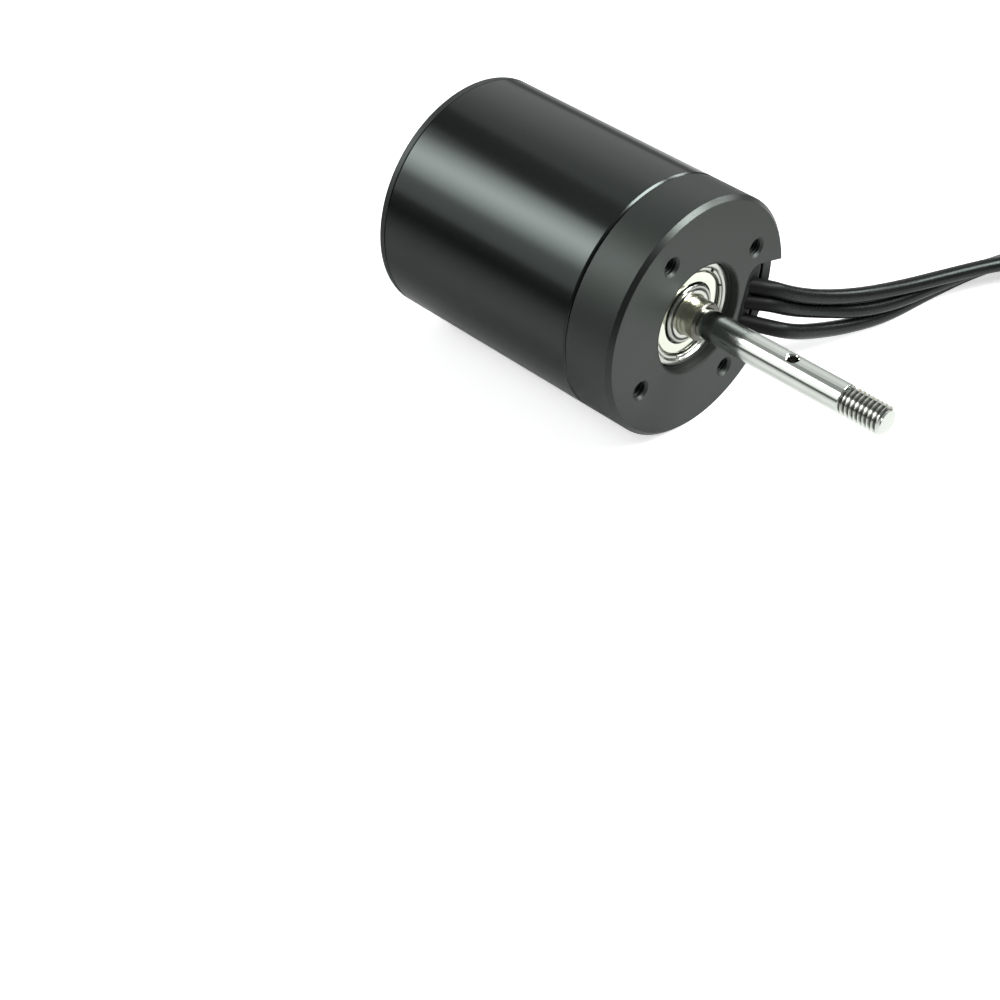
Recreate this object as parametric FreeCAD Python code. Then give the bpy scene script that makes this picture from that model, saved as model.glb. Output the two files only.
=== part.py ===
import FreeCAD, Part
import math
import os

# Waterproof brushless motor, millimetres. X runs along the shaft, out of the front face.
# The origin is the middle of the front mounting face. The motor lies on its side, and
# the surface under it is half a body diameter below the axis.

# Body shell
body_diameter = 50.0
body_length = 62.8
can_wall = 1.6
cap_depth = 11.4
rear_rim_depth = 1.5
spigot_depth = 4.0
front_edge = 0.9
joint_edge = 0.5
rear_edge = 0.4
seat_edge = 0.4
fixed_fit = 0.02
lead_exit_angle = -16.0

# Mounting holes in the front face
mount_circle_diameter = 36.0
mount_tap_diameter = 3.3
mount_mouth_diameter = 4.3
mount_hole_depth = 8.0
mount_hole_count = 4
mount_first_angle = 45.0

# Cable pocket beside the front bearing
pocket_width = 18.0
pocket_depth = 7.0
pocket_corner = 3.0
pocket_web = 1.7
skirt_wall = 1.6
skirt_notch_depth = 3.2

# Ball bearings
bearing_diameter = 22.0
bearing_bore = 8.0
bearing_width = 7.0
bearing_edge = 0.3
ball_diameter = 3.969
ball_count = 7
ball_play = 0.05
race_land = 1.4
shield_thickness = 0.35
shield_gap = 0.3
shield_seat_width = 0.7
snap_ring_width = 1.25
snap_ring_thickness = 0.4
snap_ring_gap_angle = 5.0
snap_ring_turn = 31.0
snap_ring_recess = 0.25
cage_band_width = 1.2
cage_wall = 0.18
front_bearing_recess = 2.1

# Front shoulder and shaft seal
shoulder_thickness = 1.2
shoulder_width = 3.5
seal_diameter = 18.0
seal_width = 4.0
seal_wall = 1.1
seal_lip_gap = 0.05
seal_spring_wire = 0.6

# Rear cover
rear_wall = 2.4
rear_boss_wall = 1.7
washer_height = 0.8
washer_thickness = 0.3
washer_radial_gap = 0.2
washer_width = 1.7
washer_wave_count = 3

# Tie bolts
bolt_diameter = 2.5
bolt_head_diameter = 4.5
bolt_head_height = 2.5
bolt_socket_width = 2.0
bolt_socket_depth = 1.3
bolt_head_sink = 0.2
bolt_inset = 2.8
bolt_thread_engagement = 7.0
bolt_hole_gap = 0.2
bolt_angles = (60.0, 120.0, 240.0, 300.0)

# O rings
ring_groove_depth = 1.0
ring_groove_width = 1.5
ring_groove_inset = 1.1

# Shaft
shaft_diameter = 6.0
shaft_reach = 45.0
shaft_stub_length = 1.8
shaft_shoulder = 1.0
shaft_edge = 0.5
thread_diameter = 5.9
thread_length = 9.3
thread_relief_width = 0.5
thread_relief_depth = 0.5
shaft_fit = 0.01
shaft_rear_gap = 0.4
pin_hole_diameter = 2.0
pin_hole_mouth = 2.6
pin_hole_place = 23.0
pin_hole_angle = 112.0

# Rotor
sleeve_wall = 0.45
magnet_thickness = 1.95
magnet_count = 8
magnet_arc_angle = 42.0
end_plate_thickness = 2.5
glue_gap = 0.05

# Stator
air_gap = 0.5
tooth_count = 12
tooth_width = 3.6
tooth_tip = 0.9
slot_opening = 2.0
yoke_thickness = 4.35
slot_depth = 5.13
front_winding_space = 4.6
rear_winding_space = 3.6
insulator_thickness = 0.9
insulator_inset = 0.85
liner_thickness = 0.25
liner_gap = 0.05
coil_radial_gap = 0.4
coil_tip_gap = 0.7
coil_end_height = 3.0
coil_side_gap = 0.3
coil_corner = 1.4
phase_count = 3

# Termination ring and the ends of the leads inside
termination_thickness = 0.8
termination_gap = 0.4
termination_inset = 0.5
tail_diameter = 2.0
tail_depth = 6.0

# Grommet
grommet_wall_gap = 0.1
grommet_plug_width = 3.6
grommet_plug_length = 11.6
grommet_flange_thickness = 1.0
grommet_flange_width = 6.0
nipple_diameter = 4.0
nipple_length = 2.2
grommet_gap = 0.05

# Leads: flexible, so the bends may be as small as three diameters
lead_diameter = 3.2
lead_bend_ratio = 0.45
lead_routes = (
    ((-5.5, 15.8, -1.8), (-1.0, 21.0, -2.9), (1.1, 27.8, -7.4), (2.7, 36.1, -11.2),
     (4.5, 46.0, -14.5), (6.9, 57.2, -16.7), (10.2, 69.4, -17.8), (14.1, 81.6, -18.7),
     (19.4, 91.9, -19.9), (26.6, 98.5, -21.1), (34.8, 99.8, -22.0),
     (42.4, 95.6, -22.3), (47.1, 86.6, -22.3), (47.1, 74.0, -22.3)),
    ((-5.5, 14.8, -5.4), (-0.4, 20.5, -6.9), (0.7, 27.5, -11.0), (1.9, 35.6, -14.5),
     (4.3, 44.8, -17.9), (6.2, 55.2, -20.1), (8.0, 68.0, -20.6), (11.0, 81.4, -20.6),
     (16.4, 93.3, -20.8), (24.5, 101.2, -21.7), (34.3, 103.3, -22.4),
     (44.0, 99.2, -22.5), (51.1, 90.1, -22.3), (53.4, 78.3, -22.3)),
    ((-5.5, 13.8, -8.9), (1.5, 21.0, -11.9), (2.8, 26.9, -15.1), (3.2, 34.3, -18.2),
     (4.0, 43.5, -21.2), (5.2, 54.6, -23.3), (6.1, 67.7, -23.4), (8.4, 81.7, -23.0),
     (13.6, 94.8, -22.3), (22.4, 103.9, -22.6), (33.8, 106.8, -22.9),
     (45.5, 102.7, -22.7), (54.8, 94.3, -22.3), (59.0, 85.3, -22.3)),
)

# Cable tie round the three leads
tie_point_index = 8
tie_strap_width = 2.5
tie_strap_thickness = 0.8
tie_gap = 0.2
tie_head_length = 4.4
tie_head_width = 4.6
tie_head_height = 3.2
tie_head_edge = 0.5
tie_tail_length = 1.5

# Bullet connectors and the heat-shrink sleeves over their solder cups
cup_diameter = 4.8
cup_length = 7.0
cup_edge = 0.4
neck_diameter = 3.0
neck_length = 1.0
bullet_diameter = 4.0
bullet_bulge = 0.25
bullet_length = 9.0
bullet_slot_width = 0.4
bullet_slot_margin = 1.3
bullet_slot_count = 2
shrink_wall = 0.3
shrink_gap = 0.04
shrink_over_lead = 4.4
shrink_past_cup = 0.5
shrink_step = 1.2

# Radii and places along the axis
body_radius = body_diameter / 2
can_inner_radius = body_radius - can_wall
spigot_radius = can_inner_radius - fixed_fit
ring_groove_radius = spigot_radius - ring_groove_depth
cap_back = -(cap_depth + spigot_depth)
rear_face = -body_length
can_back = rear_face + rear_rim_depth
rear_spigot_front = can_back + spigot_depth

bearing_radius = bearing_diameter / 2
bearing_seat_radius = bearing_radius + fixed_fit
pitch_radius = (bearing_diameter + bearing_bore) / 4
groove_radius = ball_diameter / 2 + ball_play
inner_land_radius = pitch_radius - race_land
outer_land_radius = pitch_radius + race_land
shield_seat_radius = outer_land_radius + shield_seat_width
shield_floor = snap_ring_recess + snap_ring_thickness + shield_thickness

front_bearing_back = -(front_bearing_recess + bearing_width)
seal_front = front_bearing_back - shoulder_thickness
seal_back = seal_front - seal_width
rear_bore_bottom = rear_face + rear_wall
rear_bearing_back = rear_bore_bottom + washer_height
rear_bearing_front = rear_bearing_back + bearing_width

journal_radius = bearing_bore / 2 - shaft_fit
core_seat_radius = bearing_bore / 2 + shaft_shoulder
shaft_radius = shaft_diameter / 2
thread_radius = thread_diameter / 2
thread_start = shaft_reach - thread_length

stator_front = cap_back - front_winding_space
stator_back = rear_bearing_front + rear_winding_space
stator_length = stator_front - stator_back
stator_radius = can_inner_radius - fixed_fit
slot_bottom_radius = stator_radius - yoke_thickness
slot_top_radius = slot_bottom_radius - slot_depth
stator_bore_radius = slot_top_radius - tooth_tip
rotor_radius = stator_bore_radius - air_gap
bolt_circle_radius = can_inner_radius - bolt_inset
bolt_head_floor = rear_face + bolt_head_sink + bolt_head_height

pocket_inner_wall = bearing_radius + pocket_web
pocket_outer_radius = body_radius - skirt_wall
grommet_centre = pocket_inner_wall + grommet_wall_gap + grommet_plug_width / 2

motor_axis = FreeCAD.Vector(1, 0, 0)
axis_origin = FreeCAD.Vector(0, 0, 0)
drill_point = math.tan(math.radians(31))


def turned(outline):
    """Solid from a closed outline of (x, radius) points, turned about the motor's axis."""
    corners = [FreeCAD.Vector(x, 0, radius) for x, radius in outline]
    face = Part.Face(Part.makePolygon(corners + corners[:1]))
    return face.revolve(axis_origin, motor_axis, 360)


def disc(start, end, radius):
    """Plain cylinder on the motor's axis from start to end along X."""
    return Part.makeCylinder(radius, end - start, FreeCAD.Vector(start, 0, 0), motor_axis)


def ring(start, end, inner_radius, outer_radius):
    """Plain ring on the motor's axis from start to end along X."""
    return disc(start, end, outer_radius).cut(disc(start - 1, end + 1, inner_radius))


def block(start, end, side_near, side_far, low, high):
    """Box between two places along each of X, Y and Z."""
    corner = FreeCAD.Vector(start, side_near, low)
    return Part.makeBox(end - start, side_far - side_near, high - low, corner)


def moved(shape, x, y, z):
    """Copy of a shape, moved."""
    copy = shape.copy()
    copy.translate(FreeCAD.Vector(x, y, z))
    return copy


def spun(shape, angle):
    """Copy of a shape, turned about the motor's axis. Zero keeps it, positive lifts +Y."""
    copy = shape.copy()
    copy.rotate(axis_origin, motor_axis, angle)
    return copy


def around(shape, count, first_angle=0.0):
    """Copies of a shape, evenly spaced about the motor's axis."""
    return [spun(shape, first_angle + 360.0 * index / count) for index in range(count)]


def edges_along_x(shape, wanted):
    """Edges parallel to the axis whose middle satisfies the test."""
    found = []
    for edge in shape.Edges:
        start, end = edge.firstVertex().Point, edge.lastVertex().Point
        straight = abs(start.y - end.y) + abs(start.z - end.z) < 1e-6
        if straight and abs(start.x - end.x) > 1e-6 and wanted(start):
            found.append(edge)
    return found


def tapped_hole(depth, tap_diameter, mouth_diameter):
    """Tapped hole to cut, opening towards +X at X = 0, with a 45 degree mouth."""
    over = 0.1
    radius = tap_diameter / 2
    mouth = mouth_diameter / 2
    outline = [
        (over, 0),
        (over, mouth + over),
        (radius - mouth, radius),
        (-depth, radius),
        (-depth - radius * drill_point, 0),
    ]
    return turned(outline)


def pocket_space(gap=0.0):
    """Room in the front cap where the leads come up, less a gap to its walls."""
    half = pocket_width / 2 - gap
    near = pocket_inner_wall + gap
    room = block(gap - pocket_depth, 1.0, near, body_radius, -half, half)
    inner_edges = edges_along_x(room, lambda point: point.y < near + 0.01)
    room = room.makeFillet(pocket_corner, inner_edges)
    return room.common(disc(-pocket_depth, 1.0, pocket_outer_radius - gap))


def skirt_notch():
    """Low stretch of the skirt, where the leads leave over its edge."""
    half = pocket_width / 2
    inside = pocket_inner_wall + pocket_corner
    return block(-skirt_notch_depth, 1.0, inside, body_radius + 1.0, -half, half)


def obround(start, end, width, length, centre_side, centre_height):
    """Bar with round ends: its width lies along Y and its length along Z."""
    radius = width / 2
    reach = length / 2 - radius
    bar = block(start, end, centre_side - radius, centre_side + radius,
                centre_height - reach, centre_height + reach)
    for height in (centre_height - reach, centre_height + reach):
        place = FreeCAD.Vector(start, centre_side, height)
        bar = bar.fuse(Part.makeCylinder(radius, end - start, place, motor_axis))
    return bar.removeSplitter()


def housing_tube():
    outline = [
        (can_back, can_inner_radius),
        (can_back, body_radius - rear_edge),
        (can_back + rear_edge, body_radius),
        (-cap_depth - joint_edge, body_radius),
        (-cap_depth, body_radius - joint_edge),
        (-cap_depth, can_inner_radius),
    ]
    return turned(outline)


def spigot_outline(shoulder, tip):
    """Points of a spigot with its O ring groove, from its shoulder to its lead-in edge."""
    toward = 1 if tip > shoulder else -1
    groove_start = shoulder + toward * ring_groove_inset
    groove_end = groove_start + toward * ring_groove_width
    return [
        (shoulder, spigot_radius),
        (groove_start, spigot_radius),
        (groove_start, ring_groove_radius),
        (groove_end, ring_groove_radius),
        (groove_end, spigot_radius),
        (tip - toward * seat_edge, spigot_radius),
        (tip, spigot_radius - seat_edge),
    ]


def o_ring(shoulder, toward):
    """O ring squeezed between a spigot's groove and the can."""
    middle = shoulder + toward * (ring_groove_inset + ring_groove_width / 2)
    centre_radius = (ring_groove_radius + can_inner_radius) / 2
    section = (can_inner_radius - ring_groove_radius) / 2 - fixed_fit
    return Part.makeTorus(centre_radius, section, FreeCAD.Vector(middle, 0, 0), motor_axis)


def lead_heights():
    """Heights of the three leads along the pocket, in the frame turned to the pocket."""
    turn = math.radians(-lead_exit_angle)
    return [route[0][1] * math.sin(turn) + route[0][2] * math.cos(turn) for route in lead_routes]


def passage(start, end, gap=0.0):
    """Way for the leads through the floor of the pocket."""
    middle = sum(lead_heights()) / len(lead_routes)
    width = grommet_plug_width - 2 * gap
    length = grommet_plug_length - 2 * gap
    return obround(start, end, width, length, grommet_centre, middle)


def front_cap():
    outline = [
        (0, bearing_seat_radius + seat_edge),
        (0, body_radius - front_edge),
        (-front_edge, body_radius),
        (-cap_depth + joint_edge, body_radius),
        (-cap_depth, body_radius - joint_edge),
    ]
    outline += spigot_outline(-cap_depth, cap_back)
    outline += [
        (cap_back, seal_diameter / 2 + fixed_fit),
        (seal_front, seal_diameter / 2 + fixed_fit),
        (seal_front, bearing_radius - shoulder_width),
        (front_bearing_back, bearing_radius - shoulder_width),
        (front_bearing_back, bearing_seat_radius),
        (-seat_edge, bearing_seat_radius),
    ]
    hole = tapped_hole(mount_hole_depth, mount_tap_diameter, mount_mouth_diameter)
    hole = moved(hole, 0, mount_circle_diameter / 2, 0)
    cuts = around(hole, mount_hole_count, mount_first_angle)
    bolt_bore_radius = bolt_diameter / 2 + fixed_fit
    depth = bolt_thread_engagement + bolt_hole_gap
    bolt_hole = disc(cap_back - 1, cap_back + depth, bolt_bore_radius)
    bolt_hole = moved(bolt_hole, 0, bolt_circle_radius, 0)
    cuts += [spun(bolt_hole, angle) for angle in bolt_angles]
    cuts += [pocket_space(), skirt_notch(), passage(cap_back - 1, -pocket_depth + 1)]
    return turned(outline).cut(cuts)


def rear_cover():
    plate_front = rear_bore_bottom + seat_edge
    boss_front = rear_bearing_front + fixed_fit
    boss_radius = bearing_radius + rear_boss_wall
    spigot_inner_radius = bolt_circle_radius - bolt_diameter / 2 - seat_edge
    outline = [
        (rear_face, 0),
        (rear_face, body_radius - rear_edge),
        (rear_face + rear_edge, body_radius),
        (can_back - rear_edge, body_radius),
        (can_back, body_radius - rear_edge),
    ]
    outline += spigot_outline(can_back, rear_spigot_front)
    outline += [
        (rear_spigot_front, spigot_inner_radius),
        (plate_front, spigot_inner_radius),
        (plate_front, boss_radius),
        (boss_front - seat_edge, boss_radius),
        (boss_front, boss_radius - seat_edge),
        (boss_front, bearing_seat_radius + seat_edge),
        (boss_front - seat_edge, bearing_seat_radius),
        (rear_bore_bottom, bearing_seat_radius),
        (rear_bore_bottom, 0),
    ]
    bore = disc(rear_face - 1, rear_spigot_front + 1, bolt_diameter / 2 + bolt_hole_gap)
    head_bore = disc(rear_face - 1, bolt_head_floor, bolt_head_diameter / 2 + bolt_hole_gap)
    bolt_way = moved(bore.fuse(head_bore), 0, bolt_circle_radius, 0)
    return turned(outline).cut([spun(bolt_way, angle) for angle in bolt_angles])


def tie_bolt():
    """Socket head bolt, from its head in the rear cover to its thread in the front cap."""
    head_top = bolt_head_floor - bolt_head_height
    shank_end = cap_back + bolt_thread_engagement
    shank_radius = bolt_diameter / 2
    outline = [
        (head_top, 0),
        (head_top, bolt_head_diameter / 2 - seat_edge / 2),
        (head_top + seat_edge / 2, bolt_head_diameter / 2),
        (bolt_head_floor, bolt_head_diameter / 2),
        (bolt_head_floor, shank_radius),
        (shank_end - seat_edge, shank_radius),
        (shank_end, shank_radius - seat_edge),
        (shank_end, 0),
    ]
    corner_radius = bolt_socket_width / math.sqrt(3)
    corners = []
    for index in range(7):
        angle = math.radians(60 * index)
        y = corner_radius * math.cos(angle)
        z = corner_radius * math.sin(angle)
        corners.append(FreeCAD.Vector(head_top, y, z))
    socket = Part.Face(Part.makePolygon(corners)).extrude(motor_axis * bolt_socket_depth)
    return moved(turned(outline).cut(socket), 0, bolt_circle_radius, 0)


def tie_bolts():
    return Part.makeCompound([spun(tie_bolt(), angle) for angle in bolt_angles])


def shaft_seal():
    """Lip seal: a stiff outer wall, a web behind the bearing and a thin lip on the shaft."""
    outer = seal_diameter / 2
    lip = core_seat_radius + seal_lip_gap
    wall = outer - seal_wall
    web = seal_front - seal_wall
    spring = seal_spring_wire
    outline = [
        (seal_front, outer),
        (seal_back, outer),
        (seal_back, wall),
        (web, wall),
        (web, lip + 2 * spring),
        (seal_back + 2 * spring, lip + 2 * spring),
        (seal_back + spring, lip + spring),
        (seal_back + 2 * spring, lip),
        (seal_front - spring, lip + spring / 2),
        (seal_front, lip + 2 * spring),
    ]
    return turned(outline)


def seal_spring():
    """Closed spring that presses the lip of the seal to the shaft."""
    centre_radius = core_seat_radius + seal_lip_gap + 2.5 * seal_spring_wire + fixed_fit
    place = FreeCAD.Vector(seal_back + 3 * seal_spring_wire, 0, 0)
    return Part.makeTorus(centre_radius, seal_spring_wire / 2, place, motor_axis)


def ball_ring(radius):
    """Spheres on the bearing's pitch circle, with the bearing's middle at the origin."""
    place = FreeCAD.Vector(0, pitch_radius, 0)
    return around(Part.makeSphere(radius, place), ball_count)


def ball_groove():
    return Part.makeTorus(pitch_radius, groove_radius, axis_origin, motor_axis)


def outer_race():
    half = bearing_width / 2
    floor = half - shield_floor
    outline = [
        (half, shield_seat_radius),
        (half, bearing_radius - bearing_edge),
        (half - bearing_edge, bearing_radius),
        (bearing_edge - half, bearing_radius),
        (-half, bearing_radius - bearing_edge),
        (-half, shield_seat_radius),
        (-floor, shield_seat_radius),
        (-floor, outer_land_radius),
        (floor, outer_land_radius),
        (floor, shield_seat_radius),
    ]
    return turned(outline).cut(ball_groove())


def inner_race():
    half = bearing_width / 2
    bore = bearing_bore / 2
    outline = [
        (half, bore + bearing_edge),
        (half, inner_land_radius - bearing_edge),
        (half - bearing_edge, inner_land_radius),
        (bearing_edge - half, inner_land_radius),
        (-half, inner_land_radius - bearing_edge),
        (-half, bore + bearing_edge),
        (bearing_edge - half, bore),
        (half - bearing_edge, bore),
    ]
    return turned(outline).cut(ball_groove())


def bearing_shields():
    """Thin shield at each side of the balls, clear of the inner race."""
    floor = bearing_width / 2 - shield_floor
    inner = inner_land_radius + shield_gap
    outer = shield_seat_radius - fixed_fit
    front = ring(floor, floor + shield_thickness, inner, outer)
    back = ring(-floor - shield_thickness, -floor, inner, outer)
    return Part.makeCompound([front, back])


def snap_rings():
    """Split ring in front of each shield, with its gap away from the pocket's direction."""
    outer = shield_seat_radius - fixed_fit
    start = bearing_width / 2 - snap_ring_recess - snap_ring_thickness
    end = start + snap_ring_thickness
    gap = outer * math.radians(snap_ring_gap_angle) / 2
    split = spun(block(start - 1, end + 1, 0, outer + 1, -gap, gap), snap_ring_turn)
    front = ring(start, end, outer - snap_ring_width, outer).cut(split)
    back = front.mirror(axis_origin, motor_axis)
    return Part.makeCompound([front, back])


def bearing_balls():
    return Part.makeCompound(ball_ring(ball_diameter / 2))


def bearing_cage():
    """Ribbon cage: a flat band that bulges round each ball."""
    inner = pitch_radius - cage_band_width / 2
    outer = pitch_radius + cage_band_width / 2
    pocket = groove_radius
    bulges = ball_ring(pocket + cage_wall)
    band = ring(-cage_wall, cage_wall, inner, outer)
    reach = pocket + cage_wall + 1
    ribbon = band.fuse([bulge.common(ring(-reach, reach, inner, outer)) for bulge in bulges])
    return ribbon.cut(ball_ring(pocket))


def preload_washer():
    """Wavy spring washer behind the rear bearing, lofted through turned sections."""
    outer = bearing_seat_radius - washer_radial_gap
    inner = outer - washer_width
    middle = (rear_bore_bottom + rear_bearing_back) / 2
    swing = (washer_height - washer_thickness) / 2 - fixed_fit
    steps = 8 * washer_wave_count
    sections = []
    for index in range(steps + 1):
        angle = 360.0 * index / steps
        centre = middle + swing * math.cos(math.radians(angle * washer_wave_count))
        low = centre - washer_thickness / 2
        high = centre + washer_thickness / 2
        corners = [(low, inner), (low, outer), (high, outer), (high, inner), (low, inner)]
        wire = Part.makePolygon([FreeCAD.Vector(x, radius, 0) for x, radius in corners])
        wire.rotate(axis_origin, motor_axis, angle)
        sections.append(wire)
    pieces = [Part.makeLoft(sections[index:index + 2], True, True) for index in range(steps)]
    return pieces[0].fuse(pieces[1:])


def tooth_blades(start, end, half_width, inner_radius, outer_radius):
    """Radial blades where the stator's teeth stand."""
    blade = block(start, end, inner_radius, outer_radius, -half_width, half_width)
    return around(blade, tooth_count)


def lamination(start, end, outer_radius, half_width):
    """Stator section with its teeth, tips and open slots."""
    slots = ring(start - 1, end + 1, slot_top_radius, slot_bottom_radius)
    slots = slots.cut(tooth_blades(start - 2, end + 2, half_width, 1.0, slot_bottom_radius + 1))
    half = slot_opening / 2
    opening = block(start - 1, end + 1, stator_bore_radius - 1, slot_top_radius + 0.5, -half, half)
    openings = around(opening, tooth_count, 180.0 / tooth_count)
    bolt_radius = bolt_diameter / 2 + bolt_hole_gap
    bolt_hole = moved(disc(start - 1, end + 1, bolt_radius), 0, bolt_circle_radius, 0)
    bolt_holes = [spun(bolt_hole, angle) for angle in bolt_angles]
    stack = ring(start, end, stator_bore_radius, outer_radius)
    return stack.cut([slots] + openings + bolt_holes)


def stator_core():
    return lamination(stator_back, stator_front, stator_radius, tooth_width / 2)


def end_insulator(start, end):
    return lamination(start, end, stator_radius - insulator_inset, tooth_width / 2)


def slot_liners():
    """Thin lining of each slot, open towards the rotor."""
    lining = liner_gap + liner_thickness
    half = tooth_width / 2
    start, end = stator_back, stator_front
    wide = ring(start, end, slot_top_radius + liner_gap, slot_bottom_radius - liner_gap)
    wide = wide.cut(tooth_blades(start - 1, end + 1, half + liner_gap, 1.0, body_radius))
    room = ring(start - 1, end + 1, slot_top_radius - 1, slot_bottom_radius - lining)
    room = room.cut(tooth_blades(start - 2, end + 2, half + lining, 1.0, body_radius))
    return wide.cut(room)


def coil():
    """Winding round one tooth, wider towards the outside of its slot."""
    inner = slot_top_radius + coil_tip_gap
    outer = slot_bottom_radius - coil_radial_gap
    hole_half = tooth_width / 2 + liner_gap + liner_thickness + liner_gap
    flare = math.tan(math.pi / tooth_count)
    corners = [(inner, coil_side_gap - inner * flare), (outer, coil_side_gap - outer * flare),
               (outer, outer * flare - coil_side_gap), (inner, inner * flare - coil_side_gap)]
    start = stator_back - coil_end_height
    end = stator_front + coil_end_height
    outline = [FreeCAD.Vector(start, y, z) for y, z in corners]
    bundle = Part.Face(Part.makePolygon(outline + outline[:1])).extrude(motor_axis * (end - start))
    end_edges = []
    for edge in bundle.Edges:
        a, b = edge.firstVertex().Point, edge.lastVertex().Point
        if abs(a.x - b.x) < 1e-6 and abs(a.y - b.y) > 1e-3:
            end_edges.append(edge)
    bundle = bundle.makeFillet(coil_corner, end_edges).common(disc(start, end, outer))
    hole_start = stator_back - insulator_thickness - liner_gap
    hole_end = stator_front + insulator_thickness + liner_gap
    hole = block(hole_start, hole_end, inner - 1, outer + 1, -hole_half, hole_half)
    return bundle.cut(hole)


def phase_coils(phase):
    """Coils of one phase, on every third tooth."""
    angle = 360.0 * phase / tooth_count
    return Part.makeCompound(around(coil(), tooth_count // phase_count, angle))


def termination_ring():
    start = stator_front + coil_end_height + termination_gap
    inner = stator_bore_radius + termination_inset
    outer = slot_bottom_radius - coil_radial_gap
    board = ring(start, start + termination_thickness, inner, outer)
    return board


def tail_places():
    return [FreeCAD.Vector(0, grommet_centre, height) for height in lead_heights()]


def phase_tails():
    """Ends of the three leads, from the termination ring into the grommet."""
    start = stator_front + coil_end_height + termination_gap + termination_thickness
    end = cap_back + tail_depth
    tails = []
    for place in tail_places():
        place.x = start
        tails.append(Part.makeCylinder(tail_diameter / 2, end - start, place, motor_axis))
    return Part.makeCompound(tails)


def lead_grommet():
    """Rubber block in the pocket's floor, with a nipple pointing along each lead."""
    middle = sum(lead_heights()) / len(lead_routes)
    floor = -pocket_depth + grommet_gap
    near = pocket_inner_wall + grommet_wall_gap
    reach = grommet_plug_length / 2 + grommet_wall_gap
    flange = block(floor, floor + grommet_flange_thickness, near, near + grommet_flange_width,
                   middle - reach, middle + reach)
    nipples = []
    lead_ways = []
    for route in lead_routes:
        tip = FreeCAD.Vector(*route[0])
        toward = (FreeCAD.Vector(*route[1]) - tip).normalize()
        nipple = Part.makeCylinder(nipple_diameter / 2, nipple_length, tip, toward * -1)
        nipples.append(spun(nipple, -lead_exit_angle))
        way = Part.makeCylinder(lead_diameter / 2 + grommet_gap, pocket_depth, tip, toward)
        lead_ways.append(spun(way, -lead_exit_angle))
    plug = passage(cap_back, floor + grommet_flange_thickness, grommet_gap)
    allowed = pocket_space(grommet_gap).fuse(plug)
    body = plug.fuse(flange.fuse(nipples).common(allowed))
    bores = []
    for place in tail_places():
        place.x = cap_back - 1
        length = tail_depth + 1 + grommet_gap
        bores.append(Part.makeCylinder(tail_diameter / 2 + grommet_gap, length, place, motor_axis))
    return body.cut(bores + lead_ways).removeSplitter()


def shaft():
    step = shaft_stub_length
    relief_radius = thread_radius - thread_relief_depth
    relief_end = thread_start + thread_relief_width
    outline = [
        (rear_bore_bottom + shaft_rear_gap, 0),
        (rear_bore_bottom + shaft_rear_gap, journal_radius - bearing_edge),
        (rear_bore_bottom + shaft_rear_gap + bearing_edge, journal_radius),
        (rear_bearing_front, journal_radius),
        (rear_bearing_front, core_seat_radius),
        (front_bearing_back, core_seat_radius),
        (front_bearing_back, journal_radius),
        (step - bearing_edge, journal_radius),
        (step, journal_radius - bearing_edge),
        (step, shaft_radius),
        (thread_start, shaft_radius),
        (thread_start, relief_radius),
        (relief_end, relief_radius),
        (relief_end, thread_radius),
        (shaft_reach - shaft_edge, thread_radius),
        (shaft_reach, thread_radius - shaft_edge),
        (shaft_reach, 0),
    ]
    below = FreeCAD.Vector(pin_hole_place, -shaft_radius - 1, 0)
    hole = Part.makeCylinder(pin_hole_diameter / 2, shaft_diameter + 2, below, FreeCAD.Vector(0, 1, 0))
    sink = (pin_hole_mouth - pin_hole_diameter) / 2
    cuts = [hole]
    for side in (-1, 1):
        start = FreeCAD.Vector(pin_hole_place, side * (shaft_radius + 0.1), 0)
        inward = FreeCAD.Vector(0, -side, 0)
        wide = pin_hole_mouth / 2 + 0.1
        cuts.append(Part.makeCone(wide, pin_hole_diameter / 2, sink + 0.1, start, inward))
    return turned(outline).cut([spun(cut, pin_hole_angle) for cut in cuts])


def rotor_core():
    outer = rotor_radius - sleeve_wall - 2 * glue_gap - magnet_thickness
    return ring(stator_back, stator_front, core_seat_radius + shaft_fit, outer)


def rotor_magnets():
    """Arc magnets, glued round the core with a gap between neighbours."""
    outer = rotor_radius - sleeve_wall - glue_gap
    inner = outer - magnet_thickness
    half = math.radians(magnet_arc_angle / 2)
    corners = [FreeCAD.Vector(stator_back, 0, 0)]
    for part in (-1, -0.5, 0, 0.5, 1):
        y = 2 * rotor_radius * math.cos(half * part)
        z = 2 * rotor_radius * math.sin(half * part)
        corners.append(FreeCAD.Vector(stator_back, y, z))
    wedge = Part.Face(Part.makePolygon(corners + corners[:1])).extrude(motor_axis * stator_length)
    magnet = ring(stator_back, stator_front, inner, outer).common(wedge)
    return Part.makeCompound(around(magnet, magnet_count))


def magnet_sleeve():
    outer = rotor_radius
    return ring(stator_back, stator_front, outer - sleeve_wall, outer)


def end_plate(start, end):
    """Plate that closes an end of the magnets."""
    return ring(start, end, core_seat_radius + shaft_fit, rotor_radius)


def lead_corners(route):
    """Arc at each inner point of a route: its start, middle, end, radius and turn."""
    points = [FreeCAD.Vector(*point) for point in route]
    corners = []
    for before, point, after in zip(points, points[1:], points[2:]):
        arrive = point - before
        leave = after - point
        reach = lead_bend_ratio * min(arrive.Length, leave.Length)
        turn = arrive.getAngle(leave)
        radius = reach / math.tan(turn / 2)
        start = point - FreeCAD.Vector(arrive).normalize() * reach
        end = point + FreeCAD.Vector(leave).normalize() * reach
        inward = ((start + end) * 0.5 - point).normalize()
        middle = point + inward * (radius / math.cos(turn / 2) - radius)
        corners.append((start, middle, end, radius, turn))
    return corners


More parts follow.
